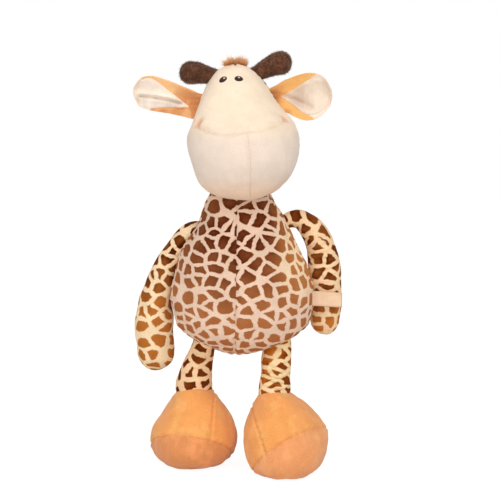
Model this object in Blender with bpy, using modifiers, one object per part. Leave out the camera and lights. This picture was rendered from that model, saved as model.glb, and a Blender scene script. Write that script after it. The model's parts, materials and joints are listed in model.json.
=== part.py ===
"""Plush giraffe standing on two slipper feet: sewn skin panels over stuffed cores.

Metres, +Z up. The toy faces -Y, and left and right are the viewer's, so left is -X.
Every soft form is a coarse cage with Subdivision Surface. Its skin is that form made hollow
and cut into panels along the seams, and its stuffing is the same form drawn inwards.
"""
import math

import bmesh
import bpy
from mathutils import Vector

# Cloth and seams
skin = 0.0016
seam_gap = 0.0003
ease = 0.0004
overrun = 0.05
marker_size = 0.03
large_pocket_segments = 17
small_pocket_segments = 11
# A limb's skin stays open at the back of its joint's ball, at this share of the ball's radius
ball_opening_share = 0.60

# The origin is under the middle of the whole toy, and the body stands off it by this much
body_x = 0.0029
body_y = -0.0005

# Body, one pear from the seat to the top of the neck
body_height = 0.151
body_width = 0.118
body_depth = 0.100
body_sides = 7
side_seam_y = -0.008
neck_split_share = 0.780
neck_centre_share = 0.802
neck_ball_share = 0.192
neck_ball = neck_ball_share * body_height
neck_skin_rise = 0.016
# Height, middle x, half width and half depth, as shares of the body's height, width, width and depth
body_share = [
    (0.000, 0.000, 0.000, 0.000),
    (0.060, 0.000, 0.275, 0.255),
    (0.195, 0.000, 0.458, 0.445),
    (0.365, 0.006, 0.502, 0.502),
    (0.560, 0.002, 0.428, 0.440),
    (0.757, 0.001, 0.300, 0.325),
    (0.875, 0.000, 0.231, 0.270),
    (0.950, 0.000, 0.158, 0.186),
    (0.998, 0.000, 0.000, 0.000),
]

# Head, a pear with its big end as the muzzle, leaning a little to the viewer's left
head_height = 0.1115
head_width = 0.092
head_depth = 0.101
head_sides = 7
head_drop = 0.0100
head_roll = math.radians(5)
head_side_y = 0.004
mouth_share = 0.540
chin_seam_share = 0.040
# Height, middle x and y, half width and half depth, as shares of height, width, depth, width, depth
head_share = [
    (0.000, 0.015, -0.060, 0.000, 0.000),
    (0.050, 0.015, -0.035, 0.290, 0.335),
    (0.180, 0.020, -0.085, 0.425, 0.440),
    (0.355, 0.027, -0.114, 0.498, 0.502),
    (0.520, 0.022, -0.080, 0.494, 0.470),
    (0.690, -0.015, 0.030, 0.367, 0.358),
    (0.870, -0.036, 0.090, 0.250, 0.250),
    (1.000, -0.038, 0.100, 0.000, 0.000),
]

# Eyes, flat ovals sewn on the face
eye_width = 0.0072
eye_height = 0.0058
eye_thick = 0.0009
eye_height_share = 0.893
eye_x_share = (-0.158, -0.018)
eye_y_share = -0.5
eye_segments = 20

# Crest of short fur between the horns and mane of the same fur down the back of the head
crest_width = 0.020
crest_thick = 0.0075
crest_top_share = 0.925
crest_y_share = (0.060, 0.235)
mane_width = 0.013
mane_thick = 0.0055
mane_foot_share = 0.280

# Horns, clubs that lie to the sides
horn_sides = 5
horn_ball = 0.0062
horn_y_share = 0.120
horn_root_share = {"left": (-0.245, 0.918), "right": (0.152, 0.945)}
left_horn_length = 0.031
right_horn_length = 0.032
horn_length = {"left": left_horn_length, "right": right_horn_length}
left_horn_thick = 0.0188
right_horn_thick = 0.0205
horn_thick = {"left": left_horn_thick, "right": right_horn_thick}
horn_rise = {"left": math.radians(8), "right": math.radians(19)}
# Distance along the horn and radius, as shares of its length and thickness
horn_share = [
    (-0.200, 0.000),
    (-0.100, 0.225),
    (0.070, 0.310),
    (0.350, 0.350),
    (0.730, 0.500),
    (1.000, 0.000),
]

# Ears, cupped leaves with an orange back and a pale lining
ear_outer_thick = 0.0030
ear_lining_thick = 0.0018
ear_cup = 0.0065
ear_middle_share = 0.55
ear_gap = 0.0009
ear_tuck = 0.0040
ear_y_share = 0.075
ear_root_share = {"left": (-0.368, 0.690), "right": (0.318, 0.745)}
left_ear_length = 0.0540
right_ear_length = 0.0470
ear_length = {"left": left_ear_length, "right": right_ear_length}
left_ear_width = 0.0285
right_ear_width = 0.0400
ear_width = {"left": left_ear_width, "right": right_ear_width}
ear_rise = {"left": math.radians(14), "right": math.radians(2)}
root_cup_share = 0.20
lining_share = 0.80
ear_columns = 2
# Half width of the ear along its length, as shares of half its width
ear_share = [0.50, 0.80, 0.98, 0.86, 0.22]

# Arms, from a shoulder ball down to a round mitt
arm_sides = 5
shoulder_y = 0.008
shoulder_share = {"left": (-0.344, 0.665), "right": (0.323, 0.722)}
left_shoulder_ball = 0.0092
right_shoulder_ball = 0.0074
shoulder_ball = {"left": left_shoulder_ball, "right": right_shoulder_ball}
left_arm_drop = 0.1175
right_arm_drop = 0.0965
arm_drop = {"left": left_arm_drop, "right": right_arm_drop}
left_arm_reach = -0.0350
right_arm_reach = 0.0350
arm_reach = {"left": left_arm_reach, "right": right_arm_reach}
left_arm_width = 0.0330
right_arm_width = 0.0250
arm_width = {"left": left_arm_width, "right": right_arm_width}
# Outward and downward places and the radius, as shares of reach, drop and width
arm_share = {
    "left": [
        (-0.240, 0.000, 0.000),
        (-0.135, -0.002, 0.230),
        (0.300, 0.010, 0.265),
        (0.660, 0.130, 0.310),
        (0.880, 0.330, 0.385),
        (1.000, 0.560, 0.430),
        (0.985, 0.810, 0.500),
        (0.960, 1.000, 0.000),
    ],
    "right": [
        (-0.200, 0.000, 0.000),
        (-0.125, -0.002, 0.232),
        (0.300, -0.050, 0.310),
        (0.700, 0.010, 0.385),
        (0.985, 0.240, 0.480),
        (1.030, 0.520, 0.480),
        (1.020, 0.830, 0.500),
        (1.000, 1.000, 0.000),
    ],
}

# Legs, from a hip ball to an ankle ball
leg_sides = 5
leg_drop = 0.035
hip_rise = 0.0055
hip_share = {"left": (-0.280, -0.03), "right": (0.258, -0.06)}
hip_ball = 0.0110
left_ankle_ball = 0.0150
right_ankle_ball = 0.0132
ankle_ball = {"left": left_ankle_ball, "right": right_ankle_ball}
ankle_rise = 0.0045
left_leg_out = -0.0065
right_leg_out = -0.0030
leg_out = {"left": left_leg_out, "right": right_leg_out}
left_leg_step = 0.004
right_leg_step = -0.010
leg_step = {"left": left_leg_step, "right": right_leg_step}
# Place between the hip and the ankle, and radius as a share of the ankle ball
leg_share = [(0.080, 0.66), (0.420, 0.90), (0.780, 0.94)]
# Place above the hip and below the ankle and radius, as shares of each joint's own ball
hip_end_share = [(0.99, 0.00), (0.62, 0.77)]
ankle_end_share = [(0.50, 0.85), (0.99, 0.00)]

# Feet, broad slippers on a rounded sole
foot_sides = 5
foot_height = 0.0620
foot_width = 0.0715
foot_length = 0.0830
flat_cut = 0.0005
foot_turn = {"left": math.radians(17), "right": math.radians(-8)}
left_foot_ahead = 0.0010
right_foot_ahead = -0.0070
foot_ahead = {"left": left_foot_ahead, "right": right_foot_ahead}
left_foot_aside = -0.0045
right_foot_aside = 0.0115
foot_aside = {"left": left_foot_aside, "right": right_foot_aside}
sole_seam_share = 0.330
sole_tilt = math.radians(15)
# Height and half width, as shares of the foot's height and width; the length follows the width
foot_share = [
    (0.000, 0.000),
    (0.020, 0.350),
    (0.180, 0.455),
    (0.420, 0.503),
    (0.700, 0.420),
    (0.920, 0.275),
    (1.000, 0.000),
]

# Tail, a thin cord of cloth with a tuft
tail_sides = 5
tail_root_share = 0.300
tail_ball = 0.0042
tail_length = 0.028
tail_thick = 0.0075
tail_tuft_length = 0.021
tail_tuft_width = 0.0150
tail_back = 0.0110
# Backward place, downward place and radius, as shares of tail_back, tail_length and tail_thick
tail_share = [
    (-0.240, 0.000, 0.00),
    (-0.120, 0.000, 0.40),
    (0.500, 0.030, 0.46),
    (0.950, 0.330, 0.48),
    (1.000, 0.860, 0.42),
    (1.000, 1.000, 0.00),
]
# Downward place and radius, as shares of the tuft's length and width
tail_tuft_share = [(0.00, 0.00), (0.10, 0.30), (0.45, 0.50), (0.82, 0.36), (1.00, 0.00)]

# Label, a bare ribbon folded double and sewn in at the side seam
label_length = 0.0255
label_width = 0.0125
label_thick = 0.0012
label_edge = 0.0004
label_tuck = 0.0030
label_height_share = 0.325

# How far a cage's end lies beyond the surface that Subdivision Surface makes of it
pole_share = 0.69
relaxing = 30


def clear_scene():
    for item in list(bpy.data.objects):
        bpy.data.objects.remove(item, do_unlink=True)


clear_scene()
parts = bpy.data.collections.new("plush_giraffe")
cutters = bpy.data.collections.new("cutters")
for collection in (parts, cutters):
    bpy.context.scene.collection.children.link(collection)


def finish_of(name, colour, roughness):
    material = bpy.data.materials.new(name)
    material.use_nodes = True
    shader = material.node_tree.nodes["Principled BSDF"]
    shader.inputs["Base Color"].default_value = (*colour, 1.0)
    shader.inputs["Roughness"].default_value = roughness
    shader.inputs["Metallic"].default_value = 0.0
    material.diffuse_color = (*colour, 1.0)
    return material


colours = {
    "print": (0.55, 0.30, 0.15),
    "cream": (0.93, 0.80, 0.64),
    "orange": (0.88, 0.42, 0.14),
    "sole": (0.80, 0.36, 0.15),
    "brown": (0.11, 0.045, 0.025),
    "lining": (0.92, 0.86, 0.80),
    "thread": (0.035, 0.014, 0.009),
    "fur": (0.72, 0.33, 0.12),
    "ribbon": (0.88, 0.80, 0.62),
    "stuffing": (0.95, 0.95, 0.93),
}


def marker(name, place, parent=None, turn=0.0):
    """An empty on a joint, which carries the pieces that turn about it."""
    empty = bpy.data.objects.new(name, None)
    parts.objects.link(empty)
    empty.empty_display_size = marker_size
    empty.location = place
    empty.rotation_euler.z = turn
    empty.parent = parent
    return empty


def settle(rings):
    """The cage values whose subdivided surface runs through the given rings."""
    cage = [list(ring) for ring in rings]
    for _ in range(relaxing):
        for k in range(1, len(rings) - 1):
            for c, wanted in enumerate(rings[k]):
                surface = (cage[k - 1][c] + 4 * cage[k][c] + cage[k + 1][c]) / 6
                cage[k][c] += wanted - surface
    for end, beside in ((0, 1), (-1, -2)):
        for c, wanted in enumerate(rings[end]):
            if rings[end][-1] == 0 and c < 3:
                cage[end][c] = cage[beside][c] + (wanted - cage[beside][c]) / pole_share
    return cage


def sleeve(name, rings, sides, square=False):
    """A closed cage along rings of (x, y, z, half width, half depth), with a point at each end.

    A ring's width lies square to Y and to the run of the rings, and its depth along Y, or
    square to both where the rings are to be square to their run."""
    cage = settle(rings)
    swell = 3 / (2 + math.cos(2 * math.pi / sides))
    last = len(cage) - 1
    grid = bmesh.new()
    bmesh.ops.create_uvsphere(grid, u_segments=sides, v_segments=last, radius=1.0)
    for vert in grid.verts:
        k = round(last * (1 - math.acos(max(-1.0, min(1.0, vert.co.z))) / math.pi))
        around = math.atan2(vert.co.y, vert.co.x)
        middle = Vector(cage[k][:3])
        run = Vector(cage[min(k + 1, last)][:3]) - Vector(cage[max(k - 1, 0)][:3])
        deep = Vector((0, 1, 0))
        across = deep.cross(run).normalized()
        if square:
            deep = run.normalized().cross(across)
        half_width = cage[k][3] * swell
        half_depth = cage[k][4] * swell
        at_end = k in (0, last)
        round_point = across * half_width * math.cos(around) + deep * half_depth * math.sin(around)
        vert.co = middle if at_end else middle + round_point
    mesh = bpy.data.meshes.new(name)
    grid.to_mesh(mesh)
    grid.free()
    return mesh


def upright(table, height, width, depth):
    """Rings of a standing form from a table of shares with a middle x and y."""
    return [
        (width * x, depth * y, height * z, width * half_w, depth * half_d)
        for z, x, y, half_w, half_d in table
    ]


def place_mesh(name, mesh, parent, collection, place=(0, 0, 0), turn=(0, 0, 0)):
    item = bpy.data.objects.new(name, mesh)
    collection.objects.link(item)
    item.parent = parent
    item.location = place
    item.rotation_euler = turn
    return item


def piece(name, mesh, parent, colour, roughness=0.9, place=(0, 0, 0), turn=(0, 0, 0)):
    own = mesh.copy()
    own.name = name
    own.materials.clear()
    own.materials.append(finish_of(name, colours[colour], roughness))
    own.shade_smooth()
    return place_mesh(name, own, parent, parts, place, turn)


def as_cutter(item):
    item.hide_render = True
    item.display_type = "WIRE"
    return item


def box_cutter(name, low, high, parent, place=(0, 0, 0), turn=(0, 0, 0)):
    low, high = Vector(low), Vector(high)
    grid = bmesh.new()
    bmesh.ops.create_cube(grid, size=1.0)
    for vert in grid.verts:
        for c in range(3):
            vert.co[c] = low[c] if vert.co[c] < 0 else high[c]
    mesh = bpy.data.meshes.new(name)
    grid.to_mesh(mesh)
    grid.free()
    return as_cutter(place_mesh(name, mesh, parent, cutters, place, turn))


def balls_cutter(name, balls, parent):
    """Round pockets, one for each (centre, radius), whose flats clear the radius."""
    grid = bmesh.new()
    for centre, radius in balls:
        around = large_pocket_segments if radius > neck_ball else small_pocket_segments
        up = around // 2
        reach = radius / (math.cos(math.pi / around) * math.cos(math.pi / (2 * up)))
        made = bmesh.ops.create_uvsphere(grid, u_segments=around, v_segments=up, radius=reach)
        bmesh.ops.translate(grid, verts=made["verts"], vec=Vector(centre))
    mesh = bpy.data.meshes.new(name)
    grid.to_mesh(mesh)
    grid.free()
    return as_cutter(place_mesh(name, mesh, parent, cutters))


def subdivide(item, levels=1):
    smooth = item.modifiers.new("smooth", "SUBSURF")
    smooth.levels = levels
    smooth.render_levels = levels
    # A skin and its stuffing fold along the same diagonals, so the seam gap holds all over
    facets = item.modifiers.new("facets", "TRIANGULATE")
    facets.quad_method = "FIXED"


def hollow(item, thickness, outwards=False):
    shell = item.modifiers.new("cloth", "SOLIDIFY")
    shell.thickness = thickness
    shell.offset = 1 if outwards else -1


def draw_in(item, depth):
    inset = item.modifiers.new("inset", "DISPLACE")
    inset.direction = "NORMAL"
    inset.mid_level = 0
    inset.strength = -depth


def cut(item, cutter, keep_inside=False):
    boolean = item.modifiers.new(cutter.name, "BOOLEAN")
    boolean.operation = "INTERSECT" if keep_inside else "DIFFERENCE"
    # The exact solver loses some of these thin shells, and every mesh here is closed
    boolean.solver = "MANIFOLD"
    boolean.object = cutter


def panel(name, mesh, parent, colour, region, pockets=None, **placing):
    """One sewn panel: the part of a form's skin that lies inside a region."""
    item = piece(name, mesh, parent, colour, **placing)
    subdivide(item)
    hollow(item, skin)
    cut(item, region, keep_inside=True)
    if pockets:
        cut(item, pockets)
    return item


def stuffing(name, mesh, parent, region=None, pockets=None, **placing):
    """The core of a form, a seam gap inside its skin."""
    item = piece(name, mesh, parent, "stuffing", **placing)
    subdivide(item)
    draw_in(item, skin + seam_gap)
    if region:
        cut(item, region, keep_inside=True)
    if pockets:
        cut(item, pockets)
    return item


# Heights, from the floor up
ankle_z = foot_height + ankle_rise
hip_z = ankle_z + leg_drop
body_base = hip_z - hip_rise
neck_z = body_base + neck_centre_share * body_height
neck_split_z = body_base + neck_split_share * body_height
head_base = neck_z + head_drop

toy = marker("giraffe_body", (body_x, body_y, 0))
neck = marker("neck_turn", (0, 0, neck_z), toy)
head = marker("head_nod", (0, 0, 0), neck)
sides = ("left", "right")
outward = {"left": -1, "right": 1}


def on_body(side, table):
    x, z = table[side]
    return Vector((x * body_width, shoulder_y, body_base + z * body_height))


shoulder_place = {side: on_body(side, shoulder_share) for side in sides}
hip_place = {
    side: Vector((hip_share[side][0] * body_width, hip_share[side][1] * body_depth, hip_z)) for side in sides
}
ankle_place = {side: Vector((leg_out[side], leg_step[side], -leg_drop)) for side in sides}


def tail_root():
    """The tail leaves the body's back at its own height."""
    heights = [row[0] for row in body_share]
    k = max(i for i, z in enumerate(heights) if z <= tail_root_share)
    part_way = (tail_root_share - heights[k]) / (heights[k + 1] - heights[k])
    half_d = body_share[k][3] + part_way * (body_share[k + 1][3] - body_share[k][3])
    return Vector((0, half_d * body_depth, body_base + tail_root_share * body_height))


tail_place = tail_root()


def make_body():
    rings = upright([(z, x, 0, w, d) for z, x, w, d in body_share], body_height, body_width, body_depth)
    rings = [(x, y, z + body_base, w, d) for x, y, z, w, d in rings]
    form = sleeve("body_form", rings, body_sides)
    balls = [(shoulder_place[side], shoulder_ball[side] + ease) for side in sides]
    balls += [(hip_place[side], hip_ball + ease) for side in sides]
    balls.append((tail_place, tail_ball + ease))
    pockets = balls_cutter("body_pockets", balls, toy)
    half_seam = seam_gap / 2
    far = body_width
    low_z = body_base - overrun
    high_z = neck_split_z - half_seam
    for side in sides:
        near_x, far_x = sorted((half_seam * outward[side], far * outward[side]))
        for face, low_y, high_y in (
            ("front", -far, side_seam_y - half_seam),
            ("back", side_seam_y + half_seam, far),
        ):
            low = (near_x, low_y, low_z)
            high = (far_x, high_y, high_z)
            region = box_cutter(f"body_{face}_{side}_region", low, high, toy)
            panel(f"body_{face}_{side}", form, toy, "print", region, pockets)
    region = box_cutter("body_region", (-far, -far, low_z), (far, far, high_z), toy)
    stuffing("body_stuffing", form, toy, region, pockets)
    return form


def make_neck(form):
    far = body_width
    low_z = neck_split_z + seam_gap / 2 - neck_z
    down = (0, 0, -neck_z)
    tube = box_cutter("neck_skin_region", (-far, -far, low_z), (far, far, neck_skin_rise), neck)
    panel("neck_skin", form, neck, "print", tube, place=down)
    above = box_cutter("neck_region", (-far, -far, low_z), (far, far, far), neck)
    stuffing("neck_stuffing", form, neck, above, place=down)


def head_point(x_share, y_share, z_share):
    """A place in the head, from shares of its width, depth and height."""
    return Vector((x_share * head_width, y_share * head_depth, head_drop + z_share * head_height))


def make_head():
    rings = upright(head_share, head_height, head_width, head_depth)
    rings = [(x, y, z + head_drop, w, d) for x, y, z, w, d in rings]
    form = sleeve("head_form", rings, head_sides)
    balls = [((0, 0, 0), neck_ball + ease)]
    for side in sides:
        balls.append((horn_place[side], horn_ball + ease))
    pockets = balls_cutter("head_pockets", balls, head)
    half_seam = seam_gap / 2
    far = head_width
    lean = (0, -head_roll, 0)
    mouth = head_point(0, 0, mouth_share)
    chin_x = chin_seam_share * head_width
    front_y = head_side_y - half_seam
    above = box_cutter("face_region", (-far, -far, half_seam), (far, front_y, far), head, mouth, lean)
    panel("face_panel", form, head, "cream", above, pockets)
    for side in sides:
        near_x, far_x = sorted((half_seam * outward[side], far * outward[side]))
        low = (chin_x + near_x, -far, -far)
        high = (chin_x + far_x, front_y, -half_seam)
        region = box_cutter(f"chin_{side}_region", low, high, head, mouth, lean)
        panel(f"chin_{side}", form, head, "cream", region, pockets)
        low = (near_x, head_side_y + half_seam, -far)
        region = box_cutter(f"head_back_{side}_region", low, (far_x, far, far), head, mouth, lean)
        panel(f"head_back_{side}", form, head, "print", region, pockets)
    stuffing("head_stuffing", form, head, None, pockets)
    return form


def patch(name, form, parent, colour, thickness, cutter):
    """A piece that follows the outside of a form, inside a cutter."""
    item = piece(name, form, parent, colour)
    subdivide(item)
    draw_in(item, -seam_gap)
    hollow(item, thickness, outwards=True)
    cut(item, cutter, keep_inside=True)
    return item


def make_eyes(form):
    for side, x_share in zip(sides, eye_x_share):
        grid = bmesh.new()
        bmesh.ops.create_cone(
            grid, cap_ends=True, segments=eye_segments, radius1=1.0, radius2=1.0, depth=head_depth
        )
        for vert in grid.verts:
            along = vert.co.z
            vert.co = Vector((vert.co.x * eye_width / 2, -along, vert.co.y * eye_height / 2))
        bmesh.ops.recalc_face_normals(grid, faces=grid.faces)
        mesh = bpy.data.meshes.new(f"{side}_eye_outline")
        grid.to_mesh(mesh)
        grid.free()
        spot = head_point(x_share, eye_y_share, eye_height_share)
        outline = as_cutter(place_mesh(f"{side}_eye_outline", mesh, head, cutters, spot))
        patch(f"{side}_eye", form, head, "thread", eye_thick, outline)


def make_crest_and_mane(form):
    middle = head_share[-1][1] * head_width
    top = head_point(0, 0, crest_top_share).z
    low = (middle - crest_width / 2, crest_y_share[0] * head_depth, top)
    high = (middle + crest_width / 2, crest_y_share[1] * head_depth, top + head_height)
    crest = box_cutter("crest_region", low, high, head)
    patch("crest", form, head, "fur", crest_thick, crest)
    foot = head_point(0, 0, mane_foot_share).z
    low = (middle - mane_width / 2, crest_y_share[1] * head_depth + seam_gap, foot)
    high = (middle + mane_width / 2, head_depth, top + head_height)
    mane = box_cutter("mane_region", low, high, head)
    patch("mane", form, head, "fur", mane_thick, mane)


horn_place = {side: head_point(horn_root_share[side][0], horn_y_share, horn_root_share[side][1]) for side in sides}


def make_horn(side):
    pivot = marker(f"{side}_horn_root", horn_place[side], head)
    length, thick, rise = horn_length[side], horn_thick[side], horn_rise[side]
    run = Vector((outward[side] * math.cos(rise), 0, math.sin(rise)))
    rings = [(*(run * length * along), thick * r, thick * r) for along, r in horn_share]
    form = sleeve(f"{side}_horn_form", rings, horn_sides)
    near = -ball_opening_share * horn_ball
    x_low, x_high = sorted((outward[side] * near, outward[side] * head_width))
    region = box_cutter(
        f"{side}_horn_region", (x_low, -head_width, -head_width), (x_high, head_width, head_width), pivot
    )
    panel(f"{side}_horn_skin", form, pivot, "brown", region)
    stuffing(f"{side}_horn_stuffing", form, pivot)


def leaf(name, start, end, width, offset, direction, rise):
    """A cupped leaf from its root to its tip, with its hollow towards -Y."""
    cup = ear_cup
    rows = len(ear_share)
    grid = bmesh.new()
    bmesh.ops.create_grid(grid, x_segments=rows - 1, y_segments=ear_columns, size=1.0)
    run = Vector((direction * math.cos(rise), 0, math.sin(rise)))
    across = Vector((-math.sin(rise) * direction, 0, math.cos(rise)))
    for vert in grid.verts:
        k = round((vert.co.x + 1) / 2 * (rows - 1))
        along = start + (end - start) * k / (rows - 1)
        side = vert.co.y
        sideways = side * width / 2 * ear_share[k]
        forward = cup * ((1 - side * side) * (root_cup_share + (1 - root_cup_share) * ear_share[k]))
        forward -= cup * ear_middle_share
        vert.co = run * along + across * sideways + Vector((0, forward + offset, 0))
    bmesh.ops.recalc_face_normals(grid, faces=grid.faces)
    if sum(face.normal.y for face in grid.faces) > 0:
        bmesh.ops.reverse_faces(grid, faces=grid.faces)
    mesh = bpy.data.meshes.new(name)
    grid.to_mesh(mesh)
    grid.free()
    return mesh


def make_ear(side, head_clearance):
    x_share, z_share = ear_root_share[side]
    place = head_point(x_share, ear_y_share, z_share)
    place.x += outward[side] * ear_gap
    pivot = marker(f"{side}_ear_root", place, head)
    length, width = ear_length[side], ear_width[side]
    run = (outward[side], ear_rise[side])
    back = leaf(f"{side}_ear_form", -ear_tuck, length, width, 0.0, *run)
    outer = piece(f"{side}_ear_outer", back, pivot, "orange")
    subdivide(outer)
    hollow(outer, ear_outer_thick)
    cut(outer, head_clearance)
    margin = length * (1 - lining_share) / 2
    lining_width = width * lining_share
    front = leaf(f"{side}_lining_form", margin, length - margin, lining_width, -2 * seam_gap, *run)
    lining = piece(f"{side}_ear_lining", front, pivot, "lining")
    subdivide(lining)
    hollow(lining, ear_lining_thick, outwards=True)
    cut(lining, head_clearance)


def make_arm(side):
    pivot = marker(f"{side}_shoulder", shoulder_place[side], toy)
    reach, drop, width = arm_reach[side], arm_drop[side], arm_width[side]
    rings = [
        (reach * out, 0, -drop * down, width * r, width * r) for out, down, r in arm_share[side]
    ]
    form = sleeve(f"{side}_arm_form", rings, arm_sides)
    near = -ball_opening_share * shoulder_ball[side]
    x_low, x_high = sorted((outward[side] * near, outward[side] * body_width))
    region = box_cutter(
        f"{side}_arm_region", (x_low, -body_width, -2 * drop), (x_high, body_width, drop), pivot
    )
    panel(f"{side}_arm_skin", form, pivot, "print", region)
    stuffing(f"{side}_arm_stuffing", form, pivot)


def make_leg(side):
    pivot = marker(f"{side}_hip", hip_place[side], toy)
    ball = ankle_ball[side]
    end = ankle_place[side]
    down = end.normalized()
    rings = [(*(-down * hip_ball * up), hip_ball * r, hip_ball * r) for up, r in hip_end_share]
    rings += [(*(end * along), ball * r, ball * r) for along, r in leg_share]
    rings += [(*(end + down * ball * past), ball * r, ball * r) for past, r in ankle_end_share]
    form = sleeve(f"{side}_leg_form", rings, leg_sides, square=True)
    far = body_width
    opening = ball_opening_share * hip_ball
    region = box_cutter(f"{side}_leg_region", (-far, -far, -far), (far, far, opening), pivot)
    panel(f"{side}_leg_skin", form, pivot, "print", region)
    stuffing(f"{side}_leg_stuffing", form, pivot)
    return pivot


def make_foot(side, hip):
    pivot = marker(f"{side}_ankle", ankle_place[side], hip, foot_turn[side])
    floor = -ankle_z
    rings = [
        (
            foot_aside[side],
            foot_ahead[side],
            floor - flat_cut + (foot_height + flat_cut) * z,
            foot_width * w,
            foot_length * w,
        )
        for z, w in foot_share
    ]
    form = sleeve(f"{side}_foot_form", rings, foot_sides)
    far = foot_length
    half_seam = seam_gap / 2
    pocket = balls_cutter(f"{side}_ankle_pocket", [((0, 0, 0), ankle_ball[side] + ease)], pivot)
    seam_place = (foot_aside[side], foot_ahead[side], floor + sole_seam_share * foot_height)
    tilt = (-sole_tilt, 0, 0)
    for half, x_low, x_high in (("left", -far, -half_seam), ("right", half_seam, far)):
        low = (x_low, -far, half_seam)
        high = (x_high, far, far)
        region = box_cutter(f"{side}_foot_{half}_region", low, high, pivot, seam_place, tilt)
        panel(f"{side}_foot_upper_{half}", form, pivot, "orange", region, pocket)
    region = box_cutter(
        f"{side}_sole_region", (-far, -far, -far), (far, far, -half_seam), pivot, seam_place, tilt
    )
    floor_cut = box_cutter(f"{side}_floor", (-far, -far, floor - overrun), (far, far, floor), pivot)
    sole = panel(f"{side}_foot_sole", form, pivot, "sole", region)
    cut(sole, floor_cut)
    stuffing(f"{side}_foot_stuffing", form, pivot, None, pocket)


def make_tail():
    pivot = marker("tail_root", tail_place, toy)
    rings = []
    for back, down, r in tail_share:
        half = tail_thick * r
        rings.append((0, tail_back * back, -tail_length * down, half, half))
    form = sleeve("tail_form", rings, tail_sides)
    tail = piece("tail", form, pivot, "print")
    subdivide(tail)
    rings = []
    for down, r in tail_tuft_share:
        half = tail_tuft_width * r
        rings.append((0, tail_back, -tail_length - seam_gap - tail_tuft_length * down, half, half))
    tuft = piece("tail_tuft", sleeve("tail_tuft_form", rings, tail_sides), pivot, "fur")
    subdivide(tuft)


def make_label(form):
    """The ribbon starts a seam gap outside the side seam."""
    z = body_base + label_height_share * body_height
    y_half = side_seam_y / (body_depth / 2)
    _, middle, half_width, _ = max(body_share, key=lambda row: row[2])
    edge = body_width * (half_width * math.sqrt(1 - y_half * y_half) + middle)
    length = label_length + label_tuck
    grid = bmesh.new()
    bmesh.ops.create_cube(grid, size=1.0)
    for vert in grid.verts:
        vert.co = Vector((vert.co.x * length, vert.co.y * label_thick, vert.co.z * label_width))
    mesh = bpy.data.meshes.new("label")
    grid.to_mesh(mesh)
    grid.free()
    place = (edge + label_length - length / 2, side_seam_y, z)
    label = piece("label", mesh, toy, "ribbon", place=place)
    edges = label.modifiers.new("edges", "BEVEL")
    edges.width = label_edge
    edges.segments = 2
    cut(label, clearance("body_clearance", form, toy, seam_gap))


def clearance(name, form, parent, gap):
    """A cutter that keeps other pieces off a form by a gap."""
    grown = as_cutter(place_mesh(name, form.copy(), parent, cutters))
    subdivide(grown)
    draw_in(grown, -gap)
    return grown


body_form = make_body()
make_neck(body_form)
head_form = make_head()
make_eyes(head_form)
make_crest_and_mane(head_form)
head_clearance = clearance("head_clearance", head_form, head, ear_gap)
for side in sides:
    make_horn(side)
    make_ear(side, head_clearance)
    make_arm(side)
    make_foot(side, make_leg(side))
make_tail()
make_label(body_form)
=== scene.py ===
"""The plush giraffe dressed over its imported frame: sewn plush covers, fur and a bare ribbon.

The toy faces -Y, and left and right are the viewer's. Outlines, sizes of seams and folds,
reaches and grains are in millimetres, and outlines are measured from the toy's own axis.
Pixels are those of the 500 by 500 photograph. Places and lines on a form are in metres.
"""
import json
import math

import bmesh
import bpy
import numpy as np
from mathutils import Matrix, Vector
from mathutils.bvhtree import BVHTree


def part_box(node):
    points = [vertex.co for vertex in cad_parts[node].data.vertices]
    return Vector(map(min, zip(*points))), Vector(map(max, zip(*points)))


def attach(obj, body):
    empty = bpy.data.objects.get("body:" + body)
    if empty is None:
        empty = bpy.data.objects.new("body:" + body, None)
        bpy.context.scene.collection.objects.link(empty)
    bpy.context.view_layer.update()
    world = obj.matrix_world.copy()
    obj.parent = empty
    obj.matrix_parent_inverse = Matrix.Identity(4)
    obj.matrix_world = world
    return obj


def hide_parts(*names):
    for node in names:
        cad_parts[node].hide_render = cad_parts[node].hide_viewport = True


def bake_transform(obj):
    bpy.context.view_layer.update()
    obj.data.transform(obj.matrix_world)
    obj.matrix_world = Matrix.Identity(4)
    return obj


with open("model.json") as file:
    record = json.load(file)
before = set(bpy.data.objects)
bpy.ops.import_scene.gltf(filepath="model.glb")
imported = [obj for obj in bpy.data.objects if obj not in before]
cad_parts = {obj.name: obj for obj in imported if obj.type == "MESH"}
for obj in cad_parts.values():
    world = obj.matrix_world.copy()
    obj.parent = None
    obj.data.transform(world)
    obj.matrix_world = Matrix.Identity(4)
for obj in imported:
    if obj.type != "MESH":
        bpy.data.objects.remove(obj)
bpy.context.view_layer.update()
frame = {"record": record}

mm = 0.001

joint_place = {joint["name"]: joint["pos_m"] for joint in frame["record"]["behaviour"]["joints"]}
axis_x, axis_y = joint_place["head_turn"][:2]
outward = {"left": -1, "right": 1}

# Camera
photo_size = 500
view_distance = 1.3
view_rise = math.radians(8)
focal_pixels = 1547.6
sensor = 36
aim = Vector((axis_x + 0.0076, axis_y, 0.184))
to_camera = Vector((0, -math.cos(view_rise), math.sin(view_rise)))
view_up = Vector((0, math.sin(view_rise), math.cos(view_rise)))
camera_place = aim + to_camera * view_distance


def place(x, y, z):
    """A point in metres, from millimetres off the toy's own axis."""
    return np.array((axis_x + x * mm, axis_y + y * mm, z * mm))


def places(points):
    return np.array([place(*point) for point in points])


def pixel_ray(px, py):
    """The way from the camera through a pixel."""
    across = (px - photo_size / 2) / focal_pixels
    up = (photo_size / 2 - py) / focal_pixels
    return (-to_camera + Vector((1, 0, 0)) * across + view_up * up).normalized()


# Smooth lines and forms


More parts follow.
